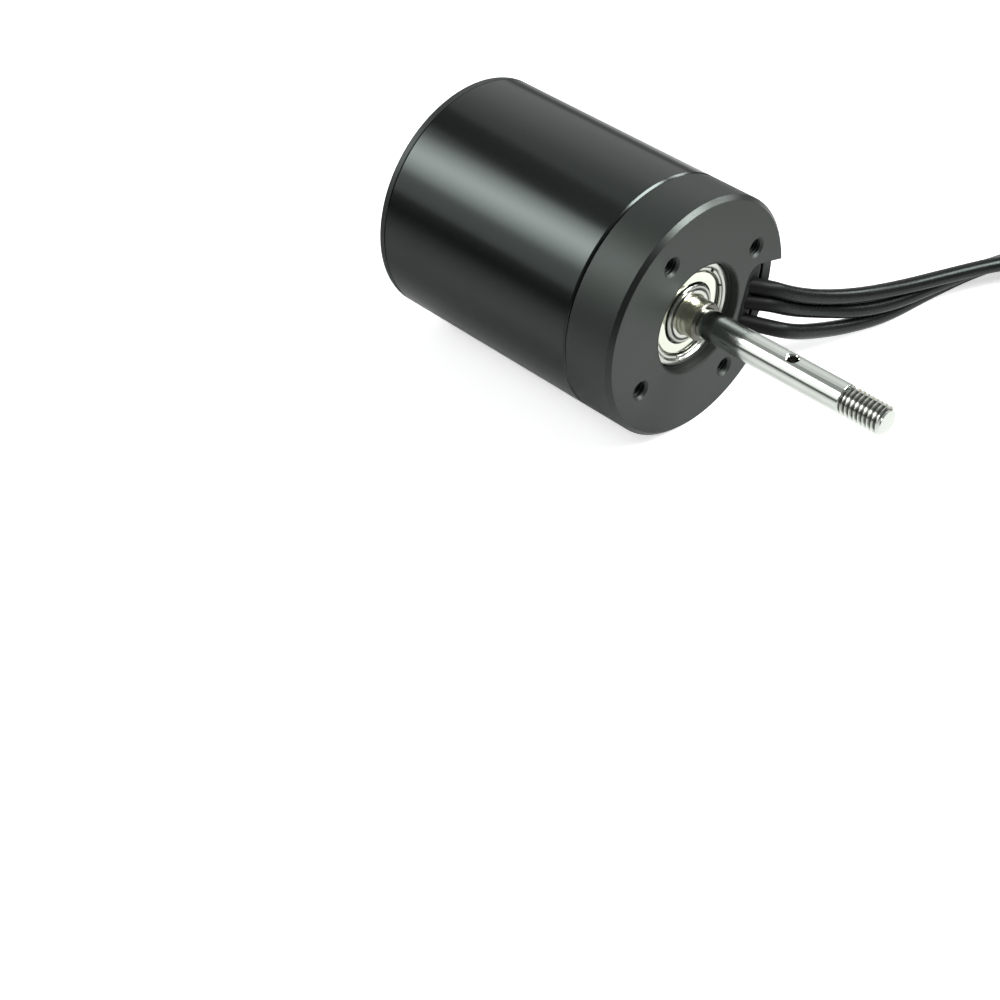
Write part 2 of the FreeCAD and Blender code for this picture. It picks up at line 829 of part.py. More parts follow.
def lead(number):
    """Lead swept along straight runs joined by tangent arcs."""
    route = lead_routes[number]
    edges = []
    radii = []
    place = FreeCAD.Vector(*route[0])
    length = 0.0
    for start, middle, end, radius, turn in lead_corners(route):
        edges.append(Part.LineSegment(place, start).toShape())
        edges.append(Part.Arc(start, middle, end).toShape())
        length += (start - place).Length + radius * turn
        radii.append(radius)
        place = end
    last = FreeCAD.Vector(*route[-1])
    edges.append(Part.LineSegment(place, last).toShape())
    length += (last - place).Length
    toward = FreeCAD.Vector(*route[1]) - FreeCAD.Vector(*route[0])
    section = Part.Wire(Part.makeCircle(lead_diameter / 2, FreeCAD.Vector(*route[0]), toward))
    tube = Part.Wire(edges).makePipeShell([section], True, False)
    expected = length * math.pi * lead_diameter ** 2 / 4
    print("lead", number + 1, "length %.1f" % length, "radii", [round(radius, 1) for radius in radii])
    print("  volume %.2f of section times length %.2f" % (tube.Volume, expected))
    return tube


def wrap_face(centres, radius, place):
    """Face inside a band pulled tight round circles that are listed anticlockwise."""
    straights = []
    for index, (y, z) in enumerate(centres):
        next_y, next_z = centres[(index + 1) % len(centres)]
        length = math.hypot(next_y - y, next_z - z)
        out_y, out_z = (next_z - z) / length, (y - next_y) / length
        straights.append(((y + out_y * radius, z + out_z * radius),
                          (next_y + out_y * radius, next_z + out_z * radius), (out_y, out_z)))
    edges = []
    for index, (start, end, out) in enumerate(straights):
        following = straights[(index + 1) % len(straights)]
        centre_y, centre_z = centres[(index + 1) % len(centres)]
        mid_y, mid_z = out[0] + following[2][0], out[1] + following[2][1]
        size = math.hypot(mid_y, mid_z)
        bend = (centre_y + mid_y / size * radius, centre_z + mid_z / size * radius)
        edges.append(Part.LineSegment(place(start), place(end)).toShape())
        edges.append(Part.Arc(place(end), place(bend), place(following[0])).toShape())
    return Part.Face(Part.Wire(edges))


def lead_tie():
    """Small cable tie that holds the three leads where they turn back."""
    crossings = [lead_corners(route)[tie_point_index - 1] for route in lead_routes]
    along = FreeCAD.Vector(0, 0, 0)
    middle = FreeCAD.Vector(0, 0, 0)
    for start, bend, end, radius, turn in crossings:
        along += (end - start).normalize()
        middle += bend * (1 / len(crossings))
    along.z = 0
    along.normalize()
    side = FreeCAD.Vector(along.y, -along.x, 0)
    up = FreeCAD.Vector(0, 0, 1)
    centres = [((bend - middle).dot(side), (bend - middle).dot(up)) for _, bend, _, _, _ in crossings]
    centres = [centres[2], centres[0], centres[1]]
    base = middle - along * (tie_strap_width / 2)

    def place(point):
        return base + side * point[0] + up * point[1]

    inner = lead_diameter / 2 + tie_gap
    outer = inner + tie_strap_thickness
    strap = wrap_face(centres, outer, place).cut(wrap_face(centres, inner, place))
    strap = strap.extrude(along * tie_strap_width)

    (y, z), (next_y, next_z) = centres[1], centres[2]
    length = math.hypot(next_y - y, next_z - z)
    flank = side * ((next_y - y) / length) + up * ((next_z - z) / length)
    outward = side * ((next_z - z) / length) + up * ((y - next_y) / length)
    flank_middle = middle + side * ((y + next_y) / 2) + up * ((z + next_z) / 2)
    head = Part.makeBox(tie_head_length, tie_head_width, tie_head_height,
                        FreeCAD.Vector(-tie_head_length / 2, -tie_head_width / 2, 0))
    head = head.makeChamfer(tie_head_edge, [edge for edge in head.Edges if edge.CenterOfMass.z > 0.01])
    tail = Part.makeBox(tie_strap_thickness, tie_strap_width, tie_tail_length,
                        FreeCAD.Vector(tie_head_length / 2 - 2 * tie_strap_thickness, -tie_strap_width / 2,
                                       tie_head_height - 0.1))
    head = head.fuse(tail)
    turn = FreeCAD.Rotation(flank, along, outward, "ZXY")
    head.Placement = FreeCAD.Placement(flank_middle + outward * (inner + tie_strap_thickness / 2), turn)
    return strap.fuse(head).removeSplitter()


def connector_place(number):
    """Placement that lays a piece along the last run of a lead, from the lead's end."""
    end = FreeCAD.Vector(*lead_routes[number][-1])
    toward = end - FreeCAD.Vector(*lead_routes[number][-2])
    return FreeCAD.Placement(end, FreeCAD.Rotation(motor_axis, toward))


def bullet_connector(number):
    """Bullet plug: a solder cup, a neck and four springy leaves with a round nose."""
    cup = cup_diameter / 2
    pin = bullet_diameter / 2 - bullet_bulge
    start = cup_length + neck_length
    end = start + bullet_length
    outline = [
        FreeCAD.Vector(0, 0, 0),
        FreeCAD.Vector(0, 0, cup - cup_edge),
        FreeCAD.Vector(cup_edge, 0, cup),
        FreeCAD.Vector(cup_length - cup_edge, 0, cup),
        FreeCAD.Vector(cup_length, 0, cup - cup_edge),
        FreeCAD.Vector(cup_length, 0, neck_diameter / 2),
        FreeCAD.Vector(start, 0, neck_diameter / 2),
        FreeCAD.Vector(start, 0, pin),
    ]
    edges = [Part.LineSegment(a, b).toShape() for a, b in zip(outline, outline[1:])]
    nose = end - bullet_length / 4
    nose_point = FreeCAD.Vector(nose, 0, pin)
    bulge_point = FreeCAD.Vector((start + nose) / 2, 0, pin + bullet_bulge)
    edges.append(Part.Arc(outline[-1], bulge_point, nose_point).toShape())
    tip = FreeCAD.Vector(end, 0, pin / 2)
    shoulder = FreeCAD.Vector(nose + bullet_length * 0.16, 0, pin * 0.88)
    edges.append(Part.Arc(nose_point, shoulder, tip).toShape())
    edges.append(Part.LineSegment(tip, FreeCAD.Vector(end, 0, 0)).toShape())
    edges.append(Part.LineSegment(FreeCAD.Vector(end, 0, 0), outline[0]).toShape())
    plug = Part.Face(Part.Wire(edges)).revolve(axis_origin, motor_axis, 360)
    half = bullet_slot_width / 2
    slot = block(start + bullet_slot_margin, end - bullet_slot_margin, -cup, cup, -half, half)
    plug = plug.cut([spun(slot, 180.0 * index / bullet_slot_count) for index in range(bullet_slot_count)])
    plug.Placement = connector_place(number)
    return plug


def shrink_sleeve(number):
    """Heat-shrink sleeve over the solder cup and the end of the lead."""
    thin = lead_diameter / 2 + shrink_gap
    wide = cup_diameter / 2 + shrink_gap
    end = cup_length + shrink_past_cup
    outline = [
        (-shrink_over_lead, thin),
        (-shrink_over_lead, thin + shrink_wall),
        (-shrink_step, thin + shrink_wall),
        (0, wide + shrink_wall),
        (end, wide + shrink_wall),
        (end, wide),
        (-shrink_gap, wide),
        (-shrink_step, thin),
    ]
    sleeve = turned(outline)
    sleeve.Placement = connector_place(number)
    return sleeve


def save(name, shape, clocked=True):
    """Write one sub-part. Pieces built on the pocket's direction are turned to it first."""
    if clocked:
        shape = spun(shape, lead_exit_angle)
    for solid in shape.Solids:
        if not solid.isValid():
            print("invalid solid in", name)
    shape.exportStep("parts/" + name + ".step")
    print("%-28s solids %2d  volume %9.2f" % (name, len(shape.Solids), shape.Volume))


def save_bearing(side, middle):
    """Write the pieces of one ball bearing, with its middle at a place on the axis."""
    pieces = {
        "bearing_outer_race": outer_race,
        "bearing_inner_race": inner_race,
        "bearing_shields": bearing_shields,
        "bearing_snap_rings": snap_rings,
        "bearing_balls": bearing_balls,
        "bearing_cage": bearing_cage,
    }
    for name, make in pieces.items():
        save(side + "_" + name, moved(make(), middle, 0, 0))


os.makedirs("parts", exist_ok=True)

save("housing_tube", housing_tube())
save("front_cap", front_cap())
save("rear_cover", rear_cover())
save("tie_bolts", tie_bolts())
save("front_o_ring", o_ring(-cap_depth, -1))
save("rear_o_ring", o_ring(can_back, 1))
save("shaft_seal", shaft_seal())
save("seal_spring", seal_spring())
save_bearing("front", front_bearing_back + bearing_width / 2)
save_bearing("rear", rear_bearing_back + bearing_width / 2)
save("preload_washer", preload_washer())

save("stator_core", stator_core())
save("front_insulator", end_insulator(stator_front, stator_front + insulator_thickness))
save("rear_insulator", end_insulator(stator_back - insulator_thickness, stator_back))
save("slot_liners", slot_liners())
for phase, letter in enumerate("abc"):
    save("phase_" + letter + "_coils", phase_coils(phase))
save("termination_ring", termination_ring())
save("phase_tails", phase_tails())
save("lead_grommet", lead_grommet())

save("shaft", shaft())
save("rotor_core", rotor_core())
save("rotor_magnets", rotor_magnets())
save("magnet_sleeve", magnet_sleeve())
save("front_end_plate", end_plate(stator_front, stator_front + end_plate_thickness))
save("rear_end_plate", end_plate(stator_back - end_plate_thickness, stator_back))

for number in range(len(lead_routes)):
    save("lead_%d" % (number + 1), lead(number), clocked=False)
    save("lead_connector_%d" % (number + 1), bullet_connector(number), clocked=False)
    save("lead_sleeve_%d" % (number + 1), shrink_sleeve(number), clocked=False)
save("lead_tie", lead_tie(), clocked=False)
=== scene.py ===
import bmesh
import bpy
import math
from mathutils import Matrix, Vector


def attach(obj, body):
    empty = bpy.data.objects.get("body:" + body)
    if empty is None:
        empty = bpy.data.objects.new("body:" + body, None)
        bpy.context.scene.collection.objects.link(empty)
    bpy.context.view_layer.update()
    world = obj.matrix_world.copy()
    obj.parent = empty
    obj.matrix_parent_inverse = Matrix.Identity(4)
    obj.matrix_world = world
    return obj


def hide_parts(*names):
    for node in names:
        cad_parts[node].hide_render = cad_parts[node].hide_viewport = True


# Looks of the small boat motor. Lengths in the tables are millimetres unless a note says otherwise, round sizes
# are radii, and X is the shaft. Outlines are (x, radius) corners, and a third number is a corner's rounding.
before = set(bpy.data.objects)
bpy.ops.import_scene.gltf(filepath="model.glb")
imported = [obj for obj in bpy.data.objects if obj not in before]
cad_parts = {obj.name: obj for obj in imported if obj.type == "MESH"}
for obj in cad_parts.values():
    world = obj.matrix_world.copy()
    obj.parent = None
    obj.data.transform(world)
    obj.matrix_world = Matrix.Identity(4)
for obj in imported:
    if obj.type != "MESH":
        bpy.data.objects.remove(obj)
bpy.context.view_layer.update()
mm = 0.001
exitTurn = math.radians(-16)    # the cable pocket points this far below +Y
print("frame loaded,", len(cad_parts), "nodes")


# camera and light; backwards points from the motor to the camera

shot = {"place": (222.87, -271.75, 245.64), "backwards": (0.54878, -0.53893, 0.63906), "lens": 80.81,
        "sensor": 36, "nearest": 10}
viewer = bpy.data.objects.new("viewer", bpy.data.cameras.new("viewer"))
viewer.data.lens = shot["lens"]
viewer.data.sensor_width = shot["sensor"]
viewer.data.clip_start = shot["nearest"] * mm
viewer.location = Vector(shot["place"]) * mm
viewer.rotation_euler = Vector(shot["backwards"]).to_track_quat("Z", "Y").to_euler()
bpy.context.collection.objects.link(viewer)
bpy.context.scene.camera = viewer
bpy.context.scene.view_settings.view_transform = "Standard"

# azimuth and height in degrees as seen from the motor, distance and sizes in metres; spread narrows the beam,
# so that a light fades softly from its middle, as a gridded softbox does
softboxes = {
    "keySoftbox": {"azimuth": -139, "height": 38.5, "distance": 0.60, "wide": 0.42, "tall": 0.34,
                   "spread": 36, "watts": 0.145},
    "keyHalo": {"azimuth": -137, "height": 30, "distance": 0.62, "wide": 0.55, "tall": 0.48,
                "spread": 120, "watts": 0.50},
    "farFill": {"azimuth": 131, "height": 34, "distance": 0.80, "wide": 0.70, "tall": 1.06,
                "spread": 100, "watts": 0.54},
    "topFill": {"azimuth": -170, "height": 74, "distance": 0.90, "wide": 0.70, "tall": 0.70,
                "spread": 170, "watts": 0.26},
    "edgeLight": {"azimuth": 38, "height": 44, "distance": 0.70, "wide": 0.36, "tall": 0.28,
                  "spread": 170, "watts": 6.0},
    "sideStrip": {"azimuth": 72, "height": 26, "distance": 0.70, "wide": 0.20, "tall": 0.14,
                  "spread": 170, "watts": 1.0},
}
for name, light in softboxes.items():
    data = bpy.data.lights.new(name, "AREA")
    data.shape = "RECTANGLE"
    data.size = light["wide"]
    data.size_y = light["tall"]
    data.energy = light["watts"]
    data.spread = math.radians(light["spread"])
    lamp = bpy.data.objects.new(name, data)
    turn, rise = math.radians(light["azimuth"]), math.radians(light["height"])
    away = Vector((math.cos(turn) * math.cos(rise), math.sin(turn) * math.cos(rise), math.sin(rise)))
    lamp.location = away * light["distance"]
    lamp.rotation_euler = away.to_track_quat("Z", "Y").to_euler()
    bpy.context.collection.objects.link(lamp)

surroundings = {"colour": (0.94, 0.98, 0.97, 1), "strength": 0.20}
room = bpy.data.worlds.new("room")
room.use_nodes = True
background = room.node_tree.nodes["Background"]
background.inputs["Color"].default_value = surroundings["colour"]
background.inputs["Strength"].default_value = surroundings["strength"]
bpy.context.scene.world = room
print("camera and lights set")


# finishes

class Wire:    # one output of a shader node, used in sums
    def __init__(self, finish, socket):
        self.finish = finish
        self.socket = socket

    def maths(self, operation, other=0.0):
        return self.finish.node("ShaderNodeMath", {"operation": operation}, {0: self, 1: other})

    def reflected(self, operation, other):    # the same with the other value first
        return self.finish.node("ShaderNodeMath", {"operation": operation}, {0: other, 1: self})

    def __add__(self, other):
        return self.maths("ADD", other)

    def __radd__(self, other):
        return self.reflected("ADD", other)

    def __sub__(self, other):
        return self.maths("SUBTRACT", other)

    def __rsub__(self, other):
        return self.reflected("SUBTRACT", other)

    def __mul__(self, other):
        return self.maths("MULTIPLY", other)

    def __rmul__(self, other):
        return self.reflected("MULTIPLY", other)

    def __truediv__(self, other):
        return self.maths("DIVIDE", other)

    def __rtruediv__(self, other):
        return self.reflected("DIVIDE", other)

    def __pow__(self, other):
        return self.maths("POWER", other)

    def __rpow__(self, other):
        return self.reflected("POWER", other)

    def __gt__(self, other):
        return self.maths("GREATER_THAN", other)

    def __lt__(self, other):
        return self.maths("LESS_THAN", other)


class Finish:    # a material and its nodes
    def __init__(self, name, **constants):
        self.material = bpy.data.materials.new(name)
        self.material.use_nodes = True
        self.tree = self.material.node_tree
        self.tree.nodes.clear()
        self.shader = self.surface(constants)
        self.output = self.tree.nodes.new("ShaderNodeOutputMaterial")
        self.tree.links.new(self.shader.outputs[0], self.output.inputs["Surface"])

    def surface(self, constants):
        shader = self.tree.nodes.new("ShaderNodeBsdfPrincipled")
        for key, value in constants.items():
            shader.inputs[key.replace("_", " ")].default_value = value
        return shader

    def mixIn(self, factor, **constants):    # a second surface where the factor is 1; feed then sets that one
        first = Wire(self, self.shader.outputs[0])
        self.shader = self.surface(constants)
        second = Wire(self, self.shader.outputs[0])
        both = self.node("ShaderNodeMixShader", inputs={0: factor, 1: first, 2: second})
        self.tree.links.new(both.socket, self.output.inputs["Surface"])

    def node(self, kind, settings=None, inputs=None, output=0):
        made = self.tree.nodes.new(kind)
        for key, value in (settings or {}).items():
            if key == "stops":
                ramp = made.color_ramp
                while len(ramp.elements) < len(value):
                    ramp.elements.new(0.5)
                for stop, (place, colour) in zip(ramp.elements, value):
                    stop.position = place
                    stop.color = colour
            else:
                setattr(made, key, value)
        for key, value in (inputs or {}).items():
            if isinstance(value, Wire):
                self.tree.links.new(value.socket, made.inputs[key])
            else:
                made.inputs[key].default_value = value
        return Wire(self, made.outputs[output])

    def feed(self, key, value):
        self.tree.links.new(value.socket, self.shader.inputs[key])

    def rough(self, level, *parts):    # each part is how far the roughness varies, and a noise from 0 to 1
        for spread, noise in parts:
            level = level + spread * (noise - 0.5)
        self.feed("Roughness", level)

    def place(self):
        return self.node("ShaderNodeTexCoord", output="Object")

    def axes(self):    # the three coordinates in metres
        place = self.place()
        return [self.node("ShaderNodeSeparateXYZ", inputs={0: place}, output=key) for key in "XYZ"]

    def radius(self):    # distance from the shaft's axis
        x, y, z = self.axes()
        return (y * y + z * z) ** 0.5

    def clamped(self, value):
        return self.node("ShaderNodeClamp", inputs={"Value": value})

    def noise(self, scale, detail=3.0, roughness=0.55):    # scale is blotches in a metre
        settings = {"noise_dimensions": "3D"}
        inputs = {"Vector": self.place(), "Scale": scale, "Detail": detail, "Roughness": roughness}
        return self.node("ShaderNodeTexNoise", settings, inputs)

    def lines(self, along, scale, detail):    # fine marks that run square to one coordinate
        settings = {"noise_dimensions": "1D"}
        return self.node("ShaderNodeTexNoise", settings, {"W": along, "Scale": scale, "Detail": detail})

    def waves(self, along, period):    # even ridges from 0 to 1, with the period in millimetres
        turns = along * (2 * math.pi / (period * mm))
        return 0.5 + 0.5 * turns.maths("SINE")

    def blend(self, factor, first, second):
        inputs = {0: factor, 6: first, 7: second}
        return self.node("ShaderNodeMix", {"data_type": "RGBA"}, inputs, 2)

    def mottled(self, factor, look, darkTint, paleTint=None):    # from the look's darker shade to its paler one
        dark, pale = look["colour"] * look["dark"], look["colour"] * look["pale"]
        return self.blend(factor, grey(dark, darkTint), grey(pale, paleTint or darkTint))

    def ramp(self, factor, *stops):
        return self.node("ShaderNodeValToRGB", {"stops": stops}, {0: factor})

    def bump(self, height, depth):    # depth in millimetres
        inputs = {"Strength": 1.0, "Distance": depth * mm, "Height": height}
        self.feed("Normal", self.node("ShaderNodeBump", inputs=inputs))


def grey(level, tint=(1, 1, 1)):
    return (level * tint[0], level * tint[1], level * tint[2], 1)


# In the looks below, scales are blotches or marks in a metre, dark and pale are shares of the colour or two
# colours, and a spread is how far the roughness varies.

def glossyBlack():    # turned and dyed tube: long soft streaks round it, nearly mirror smooth
    look = {"colour": 0.005, "dark": 0.8, "pale": 1.25, "roughness": 0.18, "spread": 0.05, "streakScale": 5200,
            "streakDepth": 0.0014, "blotchScale": 38, "pitScale": 900, "pits": 0.5}
    finish = Finish("glossyBlackAnodised", Specular_IOR_Level=0.44, Specular_Tint=(0.86, 1, 0.95, 1))
    streaks = finish.lines(finish.axes()[0], look["streakScale"], 3)
    blotches = finish.noise(look["blotchScale"], 4)
    finish.feed("Base Color", finish.mottled(blotches, look, (0.86, 1, 0.97), (0.86, 1.03, 1)))
    finish.rough(look["roughness"], (look["spread"], streaks), (look["spread"], blotches))
    finish.bump(streaks + look["pits"] * finish.noise(look["pitScale"], 2), look["streakDepth"])
    return finish.material


def satinGrey():    # blasted and dyed ends: the bore painted dark as painted shade, smoother on the front chamfer and at the joint
    look = {"colour": 0.016, "dark": 0.84, "pale": 1.18, "roughness": 0.45, "spread": 0.08, "cloudScale": 55,
            "grainScale": 6500, "grainDepth": 0.005, "speckScale": 1900, "specks": 0.16, "speckColour": 0.10,
            "bore": 11.7, "boreShadeColour": 0.004, "boreRoughness": 0.16, "rear": -20, "chamferRadius": 24.13,
            "chamferFrom": -0.88, "jointRadius": 24.42, "jointTo": -10.93, "edgeColour": 0.005,
            "edgePolish": 0.11}
    finish = Finish("satinGreyAnodised", Specular_IOR_Level=0.5, Specular_Tint=(0.88, 1, 0.93, 1))
    x, radius = finish.axes()[0], finish.radius()
    grain = finish.noise(look["grainScale"], 2, 0.6)
    clouds = finish.noise(look["cloudScale"], 5)
    specks = finish.ramp(finish.noise(look["speckScale"], 4, 0.7), (0.66, grey(0)), (0.78, grey(1)))
    onCap = x > look["rear"] * mm    # the rear cover shares this material
    # the bore's wall is painted near black: painted shade inside the recess, and it is rougher there
    inBore = (radius < look["bore"] * mm) * onCap
    chamfer = (radius > look["chamferRadius"] * mm) * (x > look["chamferFrom"] * mm)
    joint = (radius > look["jointRadius"] * mm) * (x < look["jointTo"] * mm) * onCap
    machined = chamfer + joint
    plain = finish.mottled(clouds, look, (0.88, 1, 0.95), (0.9, 1.02, 0.94))
    speckled = finish.blend(look["specks"] * specks, plain, grey(look["speckColour"], (0.95, 1, 0.95)))
    edged = finish.blend(machined, speckled, grey(look["edgeColour"]))
    finish.feed("Base Color", finish.blend(inBore, edged, grey(look["boreShadeColour"])))
    level = look["roughness"] + look["boreRoughness"] * inBore - look["edgePolish"] * machined
    finish.rough(level, (look["spread"], clouds), (look["spread"], grain))
    finish.bump(grain, look["grainDepth"])
    return finish.material


def groundSteel():    # the shaft: ground round its axis, coarser at the bearing, with painted shade in the thread's valleys, in the cross hole and on the stub's chamfer
    look = {"colour": 0.69, "dark": 0.90, "pale": 1.08, "roughness": 0.12, "markScale": 9000, "markSpread": 0.07,
            "markDepth": 0.0010, "hazeScale": 160, "hazeSpread": 0.08, "stubTo": 1.9, "stubDark": 0.42,
            "stubRoughness": 0.11, "stubRelief": 4.0, "gritScale": 7000, "chamferFrom": 1.46,
            "chamferShadeColour": 0.14, "thread": 35.3, "valley": 2.42, "crest": 2.86, "tip": 44.6, "hole": 2.56,
            "hollowShadeColour": 0.19, "hollowRoughness": 0.12}
    finish = Finish("groundShaftSteel", Metallic=1.0)
    x, radius = finish.axes()[0], finish.radius()
    marks = finish.lines(x, look["markScale"], 4)
    haze = finish.noise(look["hazeScale"], 4)
    grit = finish.noise(look["gritScale"], 3, 0.7)
    stub = x < look["stubTo"] * mm
    chamfer = stub * (x > look["chamferFrom"] * mm)
    # the thread's valleys and the cross hole are painted dark: painted shade in the hollows
    crest = finish.clamped((radius - look["valley"] * mm) / ((look["crest"] - look["valley"]) * mm))
    plain = (x < look["thread"] * mm) * (radius > look["hole"] * mm)
    bright = crest.maths("MAXIMUM", x > look["tip"] * mm).maths("MAXIMUM", plain)
    thin = finish.mottled(haze, look, (0.94, 1, 0.92), (0.95, 1, 0.94))
    coarse = finish.blend(grit, grey(look["colour"] * look["stubDark"], (1, 0.95, 0.78)),
                          grey(look["colour"], (1, 1, 0.86)))
    # the stub's chamfer is painted dark: painted shade at the shoulder
    coarse = finish.blend(chamfer, coarse, grey(look["chamferShadeColour"], (1, 0.97, 0.85)))
    steel = finish.blend(stub, thin, coarse)
    finish.feed("Base Color", finish.blend(bright, grey(look["hollowShadeColour"], (1, 1, 0.92)), steel))
    level = look["roughness"] + look["stubRoughness"] * stub * (0.5 + grit) + look["hollowRoughness"] * (1 - bright)
    finish.rough(level, (look["markSpread"], marks), (look["hazeSpread"], haze))
    finish.bump(marks + look["stubRelief"] * stub * grit, look["markDepth"])
    return finish.material


def facedSteel(name, colour, roughness, tint, depth=0.0007, ripple=0.0, shades=()):
    # marks run round the axis; shades are (radius, share of the colour), for oil and painted shadow in the grooves
    # and where parts meet
    look = {"colour": colour, "dark": 0.93, "pale": 1.06, "markScale": 9500, "markSpread": 0.06, "hazeScale": 210,
            "hazeSpread": 0.10, "rippleScale": 420, "widest": 12, "oilAndShade": 0.02}
    finish = Finish(name, Metallic=1.0)
    radius = finish.radius()
    marks = finish.lines(radius, look["markScale"], 4)
    haze = finish.noise(look["hazeScale"], 4)
    steel = finish.mottled(haze, look, tint)
    # dark rings at the given radii: oil and painted shadow
    if shades:
        stops = [(place / look["widest"], grey(share)) for place, share in shades]
        steelShare = finish.ramp(radius / (look["widest"] * mm), *stops)
        steel = finish.blend(steelShare, grey(look["oilAndShade"], (1, 0.95, 0.8)), steel)
    finish.feed("Base Color", steel)
    finish.rough(roughness, (look["markSpread"], marks), (look["hazeSpread"], haze))
    finish.bump(marks + ripple * finish.noise(look["rippleScale"], 2), depth)
    return finish.material


def grainyMetal(name, colour, tint, roughness, scale, depth, metallic=1.0):    # cast, plated or oxidised metal
    look = {"colour": colour, "dark": 0.82, "pale": 1.12, "stainScale": 130, "stainSpread": 0.16,
            "grainSpread": 0.10}
    finish = Finish(name, Metallic=metallic)
    grain = finish.noise(scale, 4, 0.65)
    stains = finish.noise(look["stainScale"], 5)
    finish.feed("Base Color", finish.mottled(stains, look, tint))
    finish.rough(roughness, (look["stainSpread"], stains), (look["grainSpread"], grain))
    finish.bump(grain, depth)
    return finish.material


def rubberSkin(name, colour, roughness, depth, dustiness=0.35, level=0.5, shadeTo=None):
    # soft black rubber with a little dust; up to a given Y it is painted darker, less shiny and rougher: painted
    # shade where the leads leave the pocket
    look = {"colour": colour, "dark": 1 - dustiness / 2, "pale": 1 + dustiness, "skinScale": 3800,
            "skinSpread": 0.08, "dustScale": 120, "dustSpread": 0.14}
    pocketShade = {"colour": colour, "dark": 0.4, "pale": 0.8, "fade": 7, "level": 0.12, "roughness": 0.55, "spread": 0.1}
    finish = Finish(name, Specular_IOR_Level=level, Specular_Tint=(0.82, 1, 0.94, 1))
    skin = finish.noise(look["skinScale"], 3, 0.6)
    dust = finish.noise(look["dustScale"], 5)
    finish.feed("Base Color", finish.mottled(dust, look, (1, 1, 1), (0.98, 1.01, 1.01)))
    finish.rough(roughness, (look["dustSpread"], dust), (look["skinSpread"], skin))
    finish.bump(skin, depth)
    # painted shade near the pocket: a darker, less shiny surface mixed in
    if shadeTo:
        near = finish.clamped((shadeTo * mm - finish.axes()[1]) / (pocketShade["fade"] * mm))
        finish.mixIn(near, Specular_IOR_Level=pocketShade["level"])
        finish.feed("Base Color", finish.mottled(dust, pocketShade, (1, 1, 1)))
        finish.rough(pocketShade["roughness"], (pocketShade["spread"], dust))
    return finish.material


def mouldedPlastic(name, colour, roughness, speckle):
    look = {"dark": 0.86, "pale": 1.08, "flowScale": 70, "flowSpread": 0.12, "grainScale": 4200, "depth": 0.004}
    finish = Finish(name)
    flow = finish.noise(look["flowScale"], 4)
    grain = finish.noise(look["grainScale"], 2)
    finish.feed("Base Color", finish.blend(flow, grey(look["dark"], colour), grey(look["pale"], colour)))
    finish.rough(roughness, (look["flowSpread"], flow), (speckle, grain))
    finish.bump(grain, look["depth"])
    return finish.material


def sheetStack():    # thin electrical sheets, one ridge each, with bluish stains
    look = {"sheet": 0.35, "depth": 0.03, "colour": 0.30, "dark": 0.75, "pale": 1.15, "roughness": 0.42,
            "stainSpread": 0.12, "sheetSpread": 0.08, "stainScale": 300}
    finish = Finish("stackedSheetSteel", Metallic=0.9)
    sheets = finish.waves(finish.axes()[0], look["sheet"])
    stains = finish.noise(look["stainScale"], 4)
    finish.feed("Base Color", finish.mottled(stains, look, (0.9, 0.97, 1.08), (1.04, 1, 0.96)))
    finish.rough(look["roughness"], (look["stainSpread"], stains), (look["sheetSpread"], sheets))
    finish.bump(sheets, look["depth"])
    return finish.material


def enamelledWire():    # windings, with strands that lie side by side and lean a little
    look = {"strand": 0.62, "lean": 0.15, "depth": 0.12, "dark": (0.42, 0.14, 0.05, 1),
            "pale": (0.78, 0.33, 0.15, 1), "roughness": 0.30, "shadeSpread": 0.12, "strandSpread": 0.10,
            "shadeScale": 500}
    finish = Finish("enamelledCopperWire", Metallic=0.85, Coat_Weight=0.6, Coat_Roughness=0.12)
    strands = finish.waves(finish.radius() + look["lean"] * finish.axes()[0], look["strand"])
    shade = finish.noise(look["shadeScale"], 3)
    finish.feed("Base Color", finish.blend(shade, look["dark"], look["pale"]))
    finish.rough(look["roughness"] + look["strandSpread"] * (1 - strands), (look["shadeSpread"], shade))
    finish.bump(strands, look["depth"])
    return finish.material


def slotPaper():
    look = {"dark": (0.66, 0.60, 0.44, 1), "pale": (0.88, 0.84, 0.72, 1), "roughness": 0.72, "spread": 0.15,
            "fibreScale": 1600, "toneScale": 90, "depth": 0.02}
    finish = Finish("slotPaper")
    fibres = finish.noise(look["fibreScale"], 6, 0.75)
    tone = finish.noise(look["toneScale"], 3)
    finish.feed("Base Color", finish.blend(0.5 * fibres + 0.5 * tone, look["dark"], look["pale"]))
    finish.rough(look["roughness"], (look["spread"], fibres))
    finish.bump(fibres, look["depth"])
    return finish.material


def glassBoard():    # ring shaped board: lacquer, and a tinned copper track near each rim
    look = {"innerTrack": 12.2, "outerTrack": 17.8, "trackHalf": 0.35, "dark": (0.045, 0.13, 0.06, 1),
            "pale": (0.075, 0.19, 0.09, 1), "tin": (0.62, 0.60, 0.56, 1), "roughness": 0.38, "spread": 0.15,
            "weaveScale": 2400, "weaveRelief": 0.2, "depth": 0.03}
    finish = Finish("laminateBoard", Coat_Weight=0.4, Coat_Roughness=0.2)
    radius = finish.radius()
    weave = finish.noise(look["weaveScale"], 3)
    toInner = (radius - look["innerTrack"] * mm).maths("ABSOLUTE")
    toOuter = (radius - look["outerTrack"] * mm).maths("ABSOLUTE")
    track = toInner.maths("MINIMUM", toOuter) < look["trackHalf"] * mm
    lacquer = finish.blend(weave, look["dark"], look["pale"])
    finish.feed("Base Color", finish.blend(track, lacquer, look["tin"]))
    finish.feed("Metallic", track)
    finish.rough(look["roughness"], (look["spread"], weave))
    finish.bump(weave * look["weaveRelief"] + track, look["depth"])
    return finish.material
